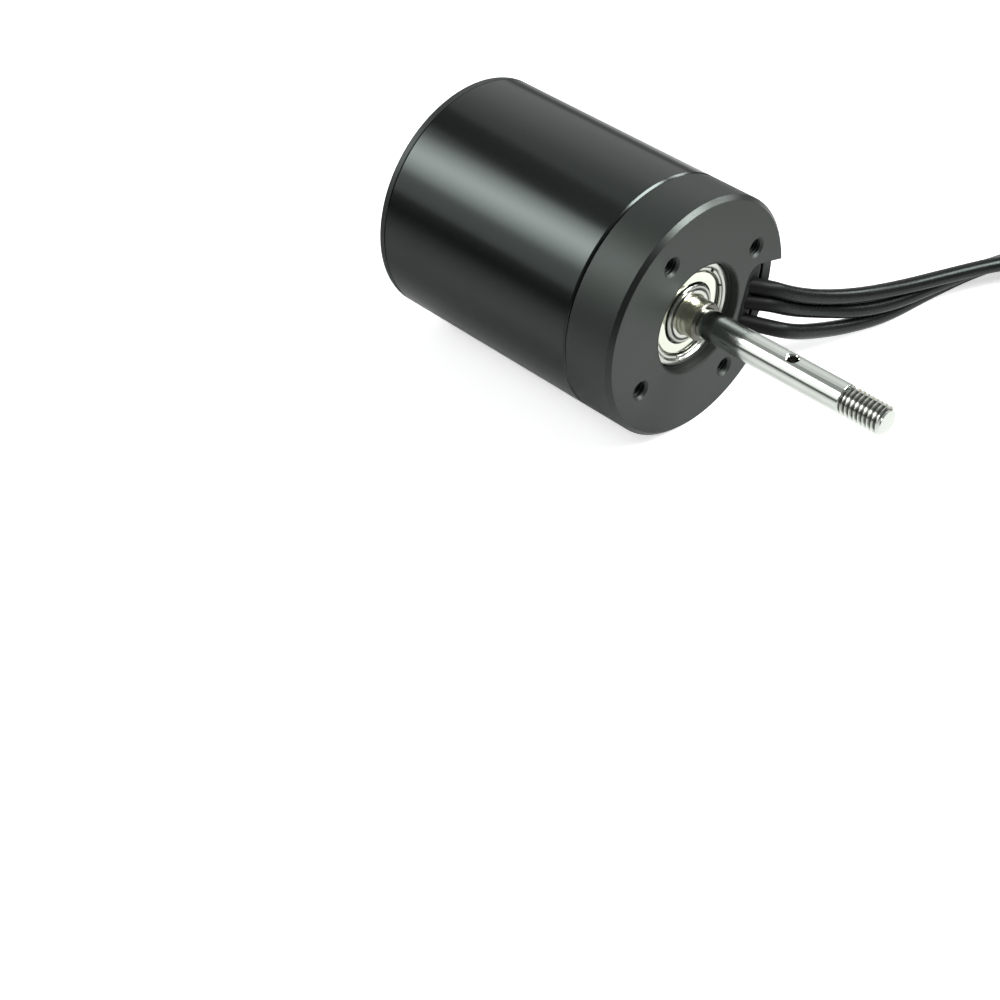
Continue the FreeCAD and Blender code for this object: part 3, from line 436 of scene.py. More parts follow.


# bearing rings as (radius, share of the steel's colour): the dark rings are oil and painted shadow in grooves and
# between parts
raceShades = ((4.85, 1), (5.0, 0.12), (5.34, 0.12), (5.5, 0.7), (6.0, 0.6), (6.3, 0.4), (9.5, 1))
shieldShades = ((6.38, 0.4), (6.5, 1), (8.42, 1), (8.6, 0.5), (8.88, 0.4), (9.0, 0.05))
blackTube = glossyBlack()
greyCap = satinGrey()
shaftSteel = groundSteel()
raceSteel = facedSteel("groundRaceSteel", colour=0.62, roughness=0.20, tint=(0.97, 1, 0.92), depth=0.0016,
                       shades=raceShades)
shieldSteel = facedSteel("brightShieldSteel", colour=0.82, roughness=0.10, tint=(0.95, 1, 0.86), depth=0.0006,
                         ripple=3.0, shades=shieldShades)
clipSteel = facedSteel("springClipSteel", colour=0.58, roughness=0.16, tint=(0.97, 1, 0.92))
silicone = rubberSkin("softBlackSilicone", colour=0.0065, roughness=0.27, depth=0.0015, level=0.25, shadeTo=27)
sealRubber = rubberSkin("nitrileRubber", colour=0.006, roughness=0.30, depth=0.006, dustiness=0.3, level=0.16)
oxideSteel = grainyMetal("blackOxideSteel", colour=0.075, tint=(0.97, 1, 1), roughness=0.33, scale=3000,
                         depth=0.004, metallic=0.7)
goldPlate = grainyMetal("goldPlatedBrass", colour=0.92, tint=(0.92, 0.68, 0.30), roughness=0.20, scale=2600,
                        depth=0.002)
shrinkTube = rubberSkin("heatShrinkTube", colour=0.016, roughness=0.34, depth=0.012, dustiness=0.2)
print("finishes made")


# mesh tools

def softened(corners, steps=3, share=0.45):    # a rounding takes at most this share of a side
    points = []
    for index, corner in enumerate(corners):
        here = Vector(corner[:2])
        size = corner[2] if len(corner) > 2 else 0
        if size == 0:
            points.append(tuple(here))
            continue
        before = Vector(corners[index - 1][:2]) - here
        after = Vector(corners[(index + 1) % len(corners)][:2]) - here
        half = before.angle(after) / 2
        reach = min(size / math.tan(half), share * before.length, share * after.length)
        radius = reach * math.tan(half)
        centre = here + (before.normalized() + after.normalized()).normalized() * (radius / math.sin(half))
        first = here + before.normalized() * reach - centre
        last = here + after.normalized() * reach - centre
        for step in range(steps + 1):
            arm = first.lerp(last, step / steps)
            points.append(tuple(centre + arm.normalized() * radius))
    return points


def around(x, radius, angle):    # a point in metres, by its place along the shaft and its angle from +Y
    return (x * mm, radius * mm * math.cos(angle), radius * mm * math.sin(angle))


def ringOf(mesh, x, radius, steps):
    if radius < 1e-6:    # a point on the axis
        return [mesh.verts.new((x * mm, 0, 0))]
    return [mesh.verts.new(around(x, radius, 2 * math.pi * index / steps)) for index in range(steps)]


def bridge(mesh, first, second):
    steps = max(len(first), len(second))
    for index in range(steps):
        following = (index + 1) % steps
        if len(first) == 1 and len(second) > 1:
            mesh.faces.new((first[0], second[index], second[following]))
        elif len(second) == 1 and len(first) > 1:
            mesh.faces.new((first[index], first[following], second[0]))
        elif len(first) > 1:
            mesh.faces.new((first[index], first[following], second[following], second[index]))


def addTurned(mesh, corners, steps, closed=False):
    rings = [ringOf(mesh, x, radius, steps) for x, radius in softened(corners)]
    for first, second in zip(rings, rings[1:]):
        bridge(mesh, first, second)
    if closed:
        bridge(mesh, rings[-1], rings[0])


threadForm = ((0, 1), (0.12, 1), (0.42, 0), (0.66, 0))    # share of a pitch, and height from root 0 to crest 1


def addThread(mesh, start, end, pitch, low, high, steps, startRadius, endLimit, fade):
    # each row of points climbs one pitch in a turn, and the ends are trimmed square
    perTurn = len(threadForm)
    turns = int((end - start) / pitch) + 3
    rows = []
    for turn in range(-1, turns):
        for part, height in threadForm:
            row = []
            for index in range(steps):
                x = min(max(start + pitch * (turn + part + index / steps), start), end)
                run = min(1, (x - start) / fade)
                radius = startRadius + (low + (high - low) * height - startRadius) * run
                row.append(mesh.verts.new(around(x, min(radius, endLimit(x)), 2 * math.pi * index / steps)))
            rows.append(row)
    for index, (first, second) in enumerate(zip(rows, rows[1:])):
        for step in range(steps - 1):
            mesh.faces.new((first[step], first[step + 1], second[step + 1], second[step]))
        if index + perTurn + 1 < len(rows):    # a row's end joins the start of the row one turn on
            mesh.faces.new((first[-1], rows[index + perTurn][0], rows[index + perTurn + 1][0], second[-1]))


def shadeEvenly(piece, sharp=32):    # edges over this angle stay sharp
    piece.data.polygons.foreach_set("use_smooth", [True] * len(piece.data.polygons))
    piece.data.set_sharp_from_angle(angle=math.radians(sharp))


def pieceOf(name, mesh, sharp=32):
    bmesh.ops.remove_doubles(mesh, verts=mesh.verts, dist=2e-8)
    bmesh.ops.dissolve_degenerate(mesh, edges=mesh.edges, dist=1e-8)
    bmesh.ops.recalc_face_normals(mesh, faces=mesh.faces)
    data = bpy.data.meshes.new(name)
    mesh.to_mesh(data)
    mesh.free()
    piece = bpy.data.objects.new(name, data)
    bpy.context.collection.objects.link(piece)
    shadeEvenly(piece, sharp)
    return piece


def turned(name, corners, steps=192, closed=False):
    mesh = bmesh.new()
    addTurned(mesh, corners, steps, closed)
    return pieceOf(name, mesh)


def prism(name, outline, start, end):    # outline is (y, z) points
    mesh = bmesh.new()
    ends = [[mesh.verts.new((x * mm, y * mm, z * mm)) for y, z in outline] for x in (start, end)]
    mesh.faces.new(ends[0])
    mesh.faces.new(ends[1])
    bridge(mesh, ends[0], ends[1])
    return pieceOf(name, mesh)


def moved(piece, *steps):    # bakes moves into the mesh, so the object stays at the origin
    for step in steps:
        piece.data.transform(step)
    return piece


def shifted(x=0, y=0, z=0):
    return Matrix.Translation((x * mm, y * mm, z * mm))


def rolled(angle):    # about the shaft's axis, in radians
    return Matrix.Rotation(angle, 4, "X")


def settle(piece):    # turns modifiers into mesh
    view = bpy.context.evaluated_depsgraph_get()
    made = bpy.data.meshes.new_from_object(piece.evaluated_get(view))
    piece.modifiers.clear()
    piece.data = made


def cut(piece, cutters):
    for cutter in cutters:
        knife = piece.modifiers.new("cut", "BOOLEAN")
        knife.operation = "DIFFERENCE"
        knife.solver = "EXACT"
        knife.object = cutter
    settle(piece)
    for cutter in cutters:
        bpy.data.objects.remove(cutter)
    shadeEvenly(piece)


def dress(piece, body, material, slot, *nodes):
    piece.data.materials.clear()
    piece.data.materials.append(material)
    if piece.type == "MESH":
        even = piece.modifiers.new("evenShading", "WEIGHTED_NORMAL")
        even.keep_sharp = True
    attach(piece, body)
    if nodes:
        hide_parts(*nodes)
    return piece


# leads

leadShape = {"diameter": 3.2, "length": (132.5, 139.6, 145.9), "sides": 10, "smooth": 16}
leadRoutes = (
    ((-5.5, 15.8, -1.8), (-1.0, 21.0, -3.15), (1.1, 27.8, -7.4), (2.7, 36.1, -11.2),
     (4.5, 46.0, -14.5), (6.9, 57.2, -16.7), (10.2, 69.4, -17.8), (14.1, 81.6, -18.7),
     (19.4, 91.9, -19.9), (26.6, 98.5, -21.1), (34.8, 99.8, -22.0),
     (42.4, 95.6, -22.3), (47.1, 86.6, -22.3), (47.1, 74.0, -22.3)),
    ((-5.5, 14.8, -5.4), (-0.4, 20.5, -6.4), (0.7, 27.5, -10.8), (1.9, 35.6, -14.5),
     (4.3, 44.8, -17.9), (6.2, 55.2, -20.1), (8.0, 68.0, -20.6), (11.0, 81.4, -20.6),
     (16.4, 93.3, -20.8), (24.5, 101.2, -21.7), (34.3, 103.3, -22.4),
     (44.0, 99.2, -22.5), (51.1, 90.1, -22.3), (53.4, 78.3, -22.3)),
    ((-5.5, 13.8, -8.9), (1.5, 21.0, -11.9), (2.8, 26.9, -15.1), (3.2, 34.3, -18.2),
     (4.0, 43.5, -21.2), (5.2, 54.6, -23.3), (6.1, 67.7, -23.4), (8.4, 81.7, -23.0),
     (13.6, 94.8, -22.3), (22.4, 103.9, -22.6), (33.8, 106.8, -22.9),
     (45.5, 102.7, -22.7), (54.8, 94.3, -22.3), (59.0, 85.3, -22.3)),
)


def makeLead(number):
    route = leadRoutes[number]
    data = bpy.data.curves.new("softLead%d" % (number + 1), "CURVE")
    data.dimensions = "3D"
    data.bevel_depth = leadShape["diameter"] / 2 * mm
    data.bevel_resolution = leadShape["sides"]
    data.use_fill_caps = True
    line = data.splines.new("NURBS")
    line.points.add(len(route) - 1)
    for point, place in zip(line.points, route):
        point.co = (place[0] * mm, place[1] * mm, place[2] * mm, 1)
    line.order_u = 3
    line.use_endpoint_u = True
    line.resolution_u = leadShape["smooth"]
    piece = bpy.data.objects.new(data.name, data)
    bpy.context.collection.objects.link(piece)
    return dress(piece, "housing", silicone, "lead_silicone", "lead_%d" % (number + 1))


plug = {"cup": 2.4, "cupBore": 1.62, "cupDeep": 7.0, "lip": 0.25, "shoulder": 0.4, "neck": 1.5, "neckLong": 1.0,
        "pin": 1.75, "pinLong": 9.0, "bulge": 2.0, "springFrom": 1.3, "bulgeFrom": 3.4, "bulgeTo": 5.4,
        "springTo": 6.75, "tip": 0.875, "slot": 0.4}


def alongLead(piece, route):    # from the piece's own X to the lead's last run, with 0 at the lead's end
    end, before = Vector(route[-1]), Vector(route[-2])
    along = (end - before).normalized()
    turn = along.to_track_quat("X", "Z").to_matrix().to_4x4()
    return moved(piece, turn, shifted(*end))


def bulletPlug(name):    # solder cup, neck and a sprung pin with two crossing slots
    back, start = -plug["cupDeep"], plug["neckLong"]
    end = start + plug["pinLong"]
    piece = turned(name, [
        (back, 0), (back, plug["cupBore"]), (back, plug["cup"] - plug["lip"], 0.1),
        (back + plug["lip"], plug["cup"], 0.1), (-plug["shoulder"], plug["cup"], 0.1),
        (0, plug["cup"] - plug["shoulder"], 0.1), (0, plug["neck"]), (start, plug["neck"]),
        (start, plug["pin"] - 0.15), (start + 0.15, plug["pin"]), (start + plug["springFrom"], plug["pin"], 1),
        (start + plug["bulgeFrom"], plug["bulge"], 3), (start + plug["bulgeTo"], plug["bulge"] - 0.06, 3),
        (start + plug["springTo"], plug["pin"], 1), (end - 0.3, plug["tip"] + 0.2, 0.2),
        (end, plug["tip"] - 0.2), (end, 0),
    ], 96)
    half, wide = plug["slot"] / 2, 3
    flat = [(-wide, -half), (wide, -half), (wide, half), (-wide, half)]
    upright = [(-half, -wide), (half, -wide), (half, wide), (-half, wide)]
    cut(piece, [prism("slotTool", outline, start + plug["springFrom"], end - plug["springFrom"])
                for outline in (flat, upright)])
    return piece


wrap = {"back": -4.4, "front": 7.5, "leadBore": 1.64, "leadOuter": 1.94, "cupBore": 2.44, "cupOuter": 2.74,
        "uneven": 0.006}


def shrinkSleeve(name, number):    # shrunk over the lead and the cup: slightly uneven, with thin lips
    piece = turned(name, [
        (wrap["back"], wrap["leadBore"]), (wrap["back"], wrap["leadOuter"], 0.05),
        (-3.2, wrap["leadOuter"] - 0.02), (-2.2, wrap["leadOuter"] + 0.01), (-1.2, wrap["leadOuter"], 1),
        (0, wrap["cupOuter"], 1.2), (2, wrap["cupOuter"] - 0.02), (4, wrap["cupOuter"]),
        (6, wrap["cupOuter"] - 0.02), (wrap["front"], wrap["cupOuter"] - 0.02, 0.05),
        (wrap["front"], wrap["cupBore"]), (-0.04, wrap["cupBore"]), (-1.2, wrap["leadBore"]),
    ], 64, True)
    for vertex in piece.data.vertices:
        turn = math.atan2(vertex.co.z, vertex.co.y)
        along = vertex.co.x / mm
        wave = math.sin(3 * turn + 1.3 * along + number) * math.cos(0.9 * along + turn)
        vertex.co.yz *= 1 - wrap["uneven"] * (1 + wave)
    return piece


leads = [makeLead(number) for number in range(3)]
for number, lead in enumerate(leads):
    route = leadRoutes[number]
    count = number + 1
    pin = alongLead(moved(bulletPlug("bulletPlug%d" % count), shifted(plug["cupDeep"])), route)
    sleeve = alongLead(shrinkSleeve("shrinkSleeve%d" % count, number), route)
    dress(pin, "housing", goldPlate, "connector_gold", "lead_connector_%d" % count)
    dress(sleeve, "housing", shrinkTube, "shrink_sleeve", "lead_sleeve_%d" % count)
    own = [pin, sleeve] + ([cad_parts["lead_tie"]] if count == 2 else [])
print("leads laid")


# body

tube = {"back": -61.0, "front": -11.4, "outer": 25.0, "inner": 23.4, "edge": 0.07, "jointEdge": 0.4}
can = turned("canTube", [
    (tube["back"], tube["inner"]),
    (tube["back"], tube["outer"] - tube["edge"], 0.03),
    (tube["back"] + tube["edge"], tube["outer"], 0.05),
    (tube["front"] - tube["jointEdge"], tube["outer"], 0.1),
    (tube["front"], tube["outer"] - tube["jointEdge"], 0.05),
    (tube["front"], tube["inner"]),
], 256, True)
dress(can, "housing", blackTube, "can_anodised", "housing_tube")
print("can made")

cap = {"depth": 11.4, "outer": 25.0, "edge": 0.9, "jointEdge": 0.5, "spigot": 23.38, "ringFrom": 12.5,
       "ringTo": 14.0, "ringFloor": 22.38, "back": 15.4, "leadIn": 0.4, "sealBore": 9.02, "sealFloor": 10.3,
       "shaftBore": 7.5, "seat": 11.02, "seatFloor": 9.1, "mouth": 11.3, "mouthDeep": 2.0, "mouthEdge": 0.12}
frontCap = turned("frontCap", [
    (0, cap["mouth"] + cap["mouthEdge"], 0.05), (0, cap["outer"] - cap["edge"], 0.12),
    (-cap["edge"], cap["outer"], 0.12), (cap["jointEdge"] - cap["depth"], cap["outer"], 0.1),
    (-cap["depth"], cap["outer"] - cap["jointEdge"], 0.05), (-cap["depth"], cap["spigot"]),
    (-cap["ringFrom"], cap["spigot"]), (-cap["ringFrom"], cap["ringFloor"]), (-cap["ringTo"], cap["ringFloor"]),
    (-cap["ringTo"], cap["spigot"]), (cap["leadIn"] - cap["back"], cap["spigot"]),
    (-cap["back"], cap["spigot"] - cap["leadIn"]), (-cap["back"], cap["sealBore"]),
    (-cap["sealFloor"], cap["sealBore"]), (-cap["sealFloor"], cap["shaftBore"]),
    (-cap["seatFloor"], cap["shaftBore"]), (-cap["seatFloor"], cap["seat"]),
    (-cap["mouthDeep"] - 0.15, cap["seat"]), (-cap["mouthDeep"], cap["mouth"]), (-cap["mouthEdge"], cap["mouth"]),
], 256, True)

# the pocket, the rubber boot in it and the mounting holes; the pocket's tables have Y pointing out of it
pocket = {"wide": 18.0, "deep": 7.0, "inner": 12.7, "corner": 3.0, "outer": 22.5, "notch": 3.2,
          "notchFrom": 15.7, "notchTo": 26}
boot = {"near": 13.05, "far": 21.3, "half": 8.6, "corner": 2.8, "base": -6.98, "top": -2.6, "round": 1.7,
        "dome": 0.35, "middle": 15.7, "side": -1.08, "plugHalf": 1.8, "plugLong": 11.6, "back": -15.4}
hole = {"minor": 1.65, "major": 2.0, "mouth": 2.15, "mouthDeep": 0.5, "thread": 7.0, "deep": 8.0, "pitch": 0.7,
        "circle": 18.0, "fade": 0.6}


def pocketOutline():
    half, near, corner, outer = pocket["wide"] / 2, pocket["inner"], pocket["corner"], pocket["outer"]
    lower = softened([(near, -half, corner), (near, half, corner), (outer, half), (outer, -half)], 8)
    reach, steps = math.asin(half / outer), 40
    angles = [reach - 2 * reach * step / steps for step in range(steps + 1)]
    return lower[:-2] + [(outer * math.cos(angle), outer * math.sin(angle)) for angle in angles]


def slotOutline(gap):    # rounded slot in the pocket's floor, for the boot's plug
    half, long = boot["plugHalf"] + gap, boot["plugLong"] / 2 + gap
    near, far, low, high = boot["middle"] - half, boot["middle"] + half, boot["side"] - long, boot["side"] + long
    corner = half - 0.01
    return softened([(near, low, corner), (near, high, corner), (far, high, corner), (far, low, corner)], 8)


def mountHole():
    steps, above = 40, 0.6
    mesh = bmesh.new()
    addTurned(mesh, [(above, 0), (above, hole["mouth"] + above), (-hole["mouthDeep"], hole["minor"])], steps)
    addThread(mesh, -hole["thread"], -hole["mouthDeep"], hole["pitch"], hole["minor"], hole["major"], steps,
              hole["minor"], lambda x: hole["minor"] + max(0, -hole["mouthDeep"] - x) * 1.2, hole["fade"])
    addTurned(mesh, [(-hole["thread"], hole["minor"]), (-hole["deep"], hole["minor"]), (-hole["deep"] - 1, 0)],
              steps)
    return pieceOf("holeTool", mesh)


notch = [(pocket[place], share * pocket["wide"])
         for place, share in (("notchFrom", -0.5), ("notchTo", -0.5), ("notchTo", 0.5), ("notchFrom", 0.5))]
tools = [prism("pocketTool", pocketOutline(), -pocket["deep"], 1),    # all reach a little past the metal
         prism("plugSlotTool", slotOutline(0.02), -16, -6.5), prism("notchTool", notch, -pocket["notch"], 1.2)]
cut(frontCap, [moved(tool, rolled(exitTurn)) for tool in tools])
cut(frontCap, [moved(mountHole(), shifted(0, hole["circle"]), rolled(exitTurn + math.radians(45 + 90 * index)))
               for index in range(4)])
dress(frontCap, "housing", greyCap, "cap_anodised", "front_cap")
print("front cap cut")


def leadBoot():    # soft block that fills the pocket round the leads, with its plug through the slot
    mesh = bmesh.new()
    near, far, half, corner = boot["near"], boot["far"], boot["half"], boot["corner"]
    middle, reach = (near + far) / 2, (far - near) / 2
    outline = softened([(near, -half, corner), (near, half, corner), (far, half, corner), (far, -half, corner)], 8)
    quarter = [math.pi / 2 * step / 6 for step in range(7)]
    rounding = [(boot["round"] * (1 - math.cos(turn)), boot["top"] - boot["round"] * (1 - math.sin(turn)))
                for turn in quarter]
    domed = [(boot["round"] + inset, boot["top"] + boot["dome"] * inset / 3) for inset in (0.8, 1.8, 2.8)]
    rings = []
    for inset, x in [(0.25, boot["base"]), (0, boot["base"] + 0.3)] + rounding + domed:
        inward = 1 - inset / reach, 1 - inset / half
        rings.append([mesh.verts.new((x * mm, (middle + (y - middle) * inward[0]) * mm, z * inward[1] * mm))
                      for y, z in outline])
    for first, second in zip(rings, rings[1:]):
        bridge(mesh, first, second)
    mesh.faces.new(rings[0])
    mesh.faces.new(rings[-1])
    plugPart = prism("bootPlug", slotOutline(0), boot["back"], boot["base"])
    mesh.from_mesh(plugPart.data)
    bpy.data.objects.remove(plugPart)
    return moved(pieceOf("leadBoot", mesh, 50), rolled(exitTurn))


dress(leadBoot(), "housing", sealRubber, "seal_rubber", "lead_grommet")
print("boot made")

cover = {"back": -62.8, "outer": 25.0, "edge": 0.4, "grooveFrom": -61.19, "grooveFloor": 24.5, "spigot": 23.38,
         "ringFrom": -60.2, "ringTo": -58.7, "ringFloor": 22.38, "front": -57.3, "leadIn": 0.4, "hollow": 18.95,
         "floor": -60, "hub": 12.7, "hubFront": -52.58, "seat": 11.02, "seatFloor": -60.4}
rearCover = turned("rearCover", [
    (cover["back"], 0), (cover["back"], cover["outer"] - cover["edge"], 0.12),
    (cover["back"] + cover["edge"], cover["outer"], 0.12), (cover["grooveFrom"], cover["outer"], 0.05),
    (cover["grooveFrom"] + 0.02, cover["grooveFloor"]), (tube["back"], cover["grooveFloor"]),
    (tube["back"], cover["spigot"]), (cover["ringFrom"], cover["spigot"]),
    (cover["ringFrom"], cover["ringFloor"]), (cover["ringTo"], cover["ringFloor"]),
    (cover["ringTo"], cover["spigot"]), (cover["front"] - cover["leadIn"], cover["spigot"]),
    (cover["front"], cover["spigot"] - cover["leadIn"]), (cover["front"], cover["hollow"]),
    (cover["floor"], cover["hollow"]), (cover["floor"], cover["hub"]),
    (cover["hubFront"] - cover["leadIn"], cover["hub"]), (cover["hubFront"], cover["hub"] - cover["leadIn"]),
    (cover["hubFront"], cover["seat"] + cover["leadIn"]), (cover["hubFront"] - cover["leadIn"], cover["seat"]),
    (cover["seatFloor"], cover["seat"]), (cover["seatFloor"], 0),
], 256)
boltHole = {"circle": 20.6, "angles": (60, 120, 240, 300), "head": 2.45, "mouthEdge": 0.2, "seat": -60.1,
            "shank": 1.45}
boltAngles = [exitTurn + math.radians(angle) for angle in boltHole["angles"]]
boreTool = [(-64, 0), (-64, 2.75), (cover["back"], boltHole["head"] + boltHole["mouthEdge"]),
            (cover["back"] + boltHole["mouthEdge"], boltHole["head"]), (boltHole["seat"], boltHole["head"]),
            (boltHole["seat"], boltHole["shank"]), (-56, boltHole["shank"]), (-56, 0)]
cut(rearCover, [moved(turned("boreTool", boreTool, 48), shifted(0, boltHole["circle"]), rolled(angle))
                for angle in boltAngles])
dress(rearCover, "housing", greyCap, "cap_anodised", "rear_cover")
print("rear cover cut")


# shaft

rod = {"back": -60, "journal": 3.99, "journalEdge": 0.3, "rearSeat": -52.6, "middle": 5, "frontSeat": -9.1,
       "stub": 1.8, "radius": 3.0, "reach": 45.0, "relief": 35.7, "reliefRadius": 2.45, "threadStart": 35.9,
       "threadLow": 2.34, "threadHigh": 2.95, "tip": 2.3, "pitch": 1.0, "hole": 23.0, "holeRadius": 1.05,
       "holeMouth": 1.65, "holeTurn": 6, "steps": 128}
besideHole = (-5, -3, -2, -1.3, -0.6, 0.6, 1.3, 2, 3)    # rings that keep the faces round the hole short
shaftMesh = bmesh.new()
addTurned(shaftMesh, [
    (rod["back"], 0), (rod["back"], rod["journal"] - rod["journalEdge"]),
    (rod["back"] + rod["journalEdge"], rod["journal"]), (rod["rearSeat"], rod["journal"]),
    (rod["rearSeat"], rod["middle"]), (rod["frontSeat"], rod["middle"]), (rod["frontSeat"], rod["journal"]),
    (rod["stub"] - rod["journalEdge"], rod["journal"], 0.1),
    (rod["stub"], rod["journal"] - rod["journalEdge"], 0.08), (rod["stub"], rod["radius"]),
    *[(rod["hole"] + step, rod["radius"]) for step in besideHole],
    (rod["relief"] - 0.15, rod["radius"], 0.05), (rod["relief"], rod["radius"] - 0.15),
    (rod["relief"] + 0.1, rod["reliefRadius"]), (rod["threadStart"], rod["reliefRadius"]),
], rod["steps"])
addThread(shaftMesh, rod["threadStart"], rod["reach"], rod["pitch"], rod["threadLow"], rod["threadHigh"],
          rod["steps"], rod["reliefRadius"], lambda x: rod["tip"] + 1.25 * (rod["reach"] - x), 0.5)
addTurned(shaftMesh, [(rod["reach"], rod["tip"]), (rod["reach"], 0)], rod["steps"])
shaft = pieceOf("outputShaft", shaftMesh)
holeHalf = [(4, 0), (4, rod["holeMouth"]), (3.2, rod["holeMouth"]), (2.6, rod["holeRadius"])]
crossTool = turned("crossTool", [(-x, radius) for x, radius in holeHalf] + holeHalf[::-1], 48)
cut(shaft, [moved(crossTool, Matrix.Rotation(math.radians(90), 4, "Y"), shifted(rod["hole"]),
                  rolled(math.radians(rod["holeTurn"])))])
dress(shaft, "rotor", shaftSteel, "ground_steel", "shaft")
print("shaft made")


# bearings

bearing = {"half": 3.5, "ballCircle": 7.5, "ball": 2.0345, "grooveHalf": 1.476, "outer": 11.0, "inner": 4.0,
           "edge": 0.3, "clipSeat": 9.6, "shieldSeat": 2.5, "outerLand": 8.9, "innerLand": 6.1,
           "middles": {"front": -5.6, "rear": -56.1}}
shieldOutline = ((2.6, 6.4), (2.85, 6.46, 0.08), (2.85, 8.42, 0.25), (2.58, 8.78, 0.12), (2.62, 9.3),
                 (2.62, 9.58), (2.5, 9.58), (2.46, 8.74, 0.12), (2.7, 8.32, 0.2), (2.7, 6.56, 0.05), (2.5, 6.4))
# the clip's side 1 faces the front
clip = {"low": 8.95, "high": 9.56, "from": 2.68, "to": 3.2, "round": 0.14, "gapAt": {1: 50, -1: 190},
        "gapWide": 7, "slits": {1: (15, -65, -109), -1: ()}, "slitWide": 2.4, "slitTo": 9.38}


def grooveArc(side):    # ball groove of a race, from its rear edge to its front edge; side is 1 outside the balls
    reach, steps = bearing["grooveHalf"], 10
    places = [-reach + 2 * reach * step / steps for step in range(steps + 1)]
    return [(x, bearing["ballCircle"] + side * math.sqrt(bearing["ball"] ** 2 - x * x)) for x in places]


def pairOf(name, middle, make):    # one solid on each side of the bearing, joined in one piece
    mesh = bmesh.new()
    for side in (1, -1):
        half = make(name, side)
        mesh.from_mesh(half.data)
        bpy.data.objects.remove(half)
    return moved(pieceOf(name, mesh, 40), shifted(middle))


def shieldHalf(name, side):    # pressed disc: flat middle, a groove near the rim, and the rim under the clip
    return turned(name, [(side * point[0],) + point[1:] for point in shieldOutline], 192, True)


def clipHalf(name, side):    # split spring ring, with narrow slits in its inner part
    low, high, near, far, corner = clip["low"], clip["high"], side * clip["from"], side * clip["to"], clip["round"]
    section = softened([(near, low, corner), (far, low, corner), (far, high, corner), (near, high, corner)], 3)
    mesh = bmesh.new()
    steps = 360
    loops = []
    for index in range(steps + 1):
        degrees = clip["gapAt"][side] + clip["gapWide"] / 2 + (360 - clip["gapWide"]) * index / steps
        inSlit = any(abs((degrees - slit + 180) % 360 - 180) < clip["slitWide"] / 2
                     for slit in clip["slits"][side])
        loops.append([mesh.verts.new(around(x, max(radius, clip["slitTo"]) if inSlit else radius,
                                            math.radians(degrees))) for x, radius in section])
    for first, second in zip(loops, loops[1:]):
        bridge(mesh, first, second)
    mesh.faces.new(loops[0])
    mesh.faces.new(loops[-1])
    return pieceOf(name, mesh, 40)


half, edge = bearing["half"], bearing["edge"]
outerLip, innerLip = bearing["outer"] - 0.28, bearing["innerLand"] - 0.28
for prefix, middle in bearing["middles"].items():
    outer = turned(prefix + "OuterRace", [
        (half, 9.9, 0.05), (half, outerLip, 0.08), (half - edge, bearing["outer"], 0.1),
        (edge - half, bearing["outer"], 0.1), (-half, outerLip, 0.08), (-half, 9.9, 0.05),
        (-3.18, bearing["clipSeat"]), (-bearing["shieldSeat"], bearing["clipSeat"]),
        (-bearing["shieldSeat"], bearing["outerLand"]), *grooveArc(1),
        (bearing["shieldSeat"], bearing["outerLand"]), (bearing["shieldSeat"], bearing["clipSeat"]),
        (3.18, bearing["clipSeat"]),
    ], 256, True)
    dress(moved(outer, shifted(middle)), "housing", raceSteel, "race_steel", prefix + "_bearing_outer_race")
    inner = turned(prefix + "InnerRace", [    # with a shallow groove in its front face
        (half, bearing["inner"] + edge), (half, 4.98, 0.04), (3.28, 5.12), (3.28, 5.3), (3.4, 5.42, 0.04),
        (3.4, innerLip, 0.08), (3.15, bearing["innerLand"], 0.1), *reversed(grooveArc(-1)),
        (edge - half, bearing["innerLand"], 0.1), (-half, innerLip, 0.08), (-half, bearing["inner"] + edge),
        (edge - half, bearing["inner"]), (half - edge, bearing["inner"]),
    ], 192, True)
    dress(moved(inner, shifted(middle)), "rotor", raceSteel, "race_steel", prefix + "_bearing_inner_race")
    dress(pairOf(prefix + "Shields", middle, shieldHalf), "housing", shieldSteel, "shield_steel",
          prefix + "_bearing_shields")
    dress(pairOf(prefix + "ClipRings", middle, clipHalf), "housing", clipSteel, "spring_steel",
          prefix + "_bearing_snap_rings")
print("bearings made")


# tie bolts

bolt = {"head": 2.25, "top": -62.6, "shank": 1.25, "root": 0.99, "tip": -8.4, "tipRadius": 0.8, "thread": -15.0,
        "pitch": 0.45, "key": 2.0, "keyDeep": 1.3, "knurl": 0.975, "steps": 72}


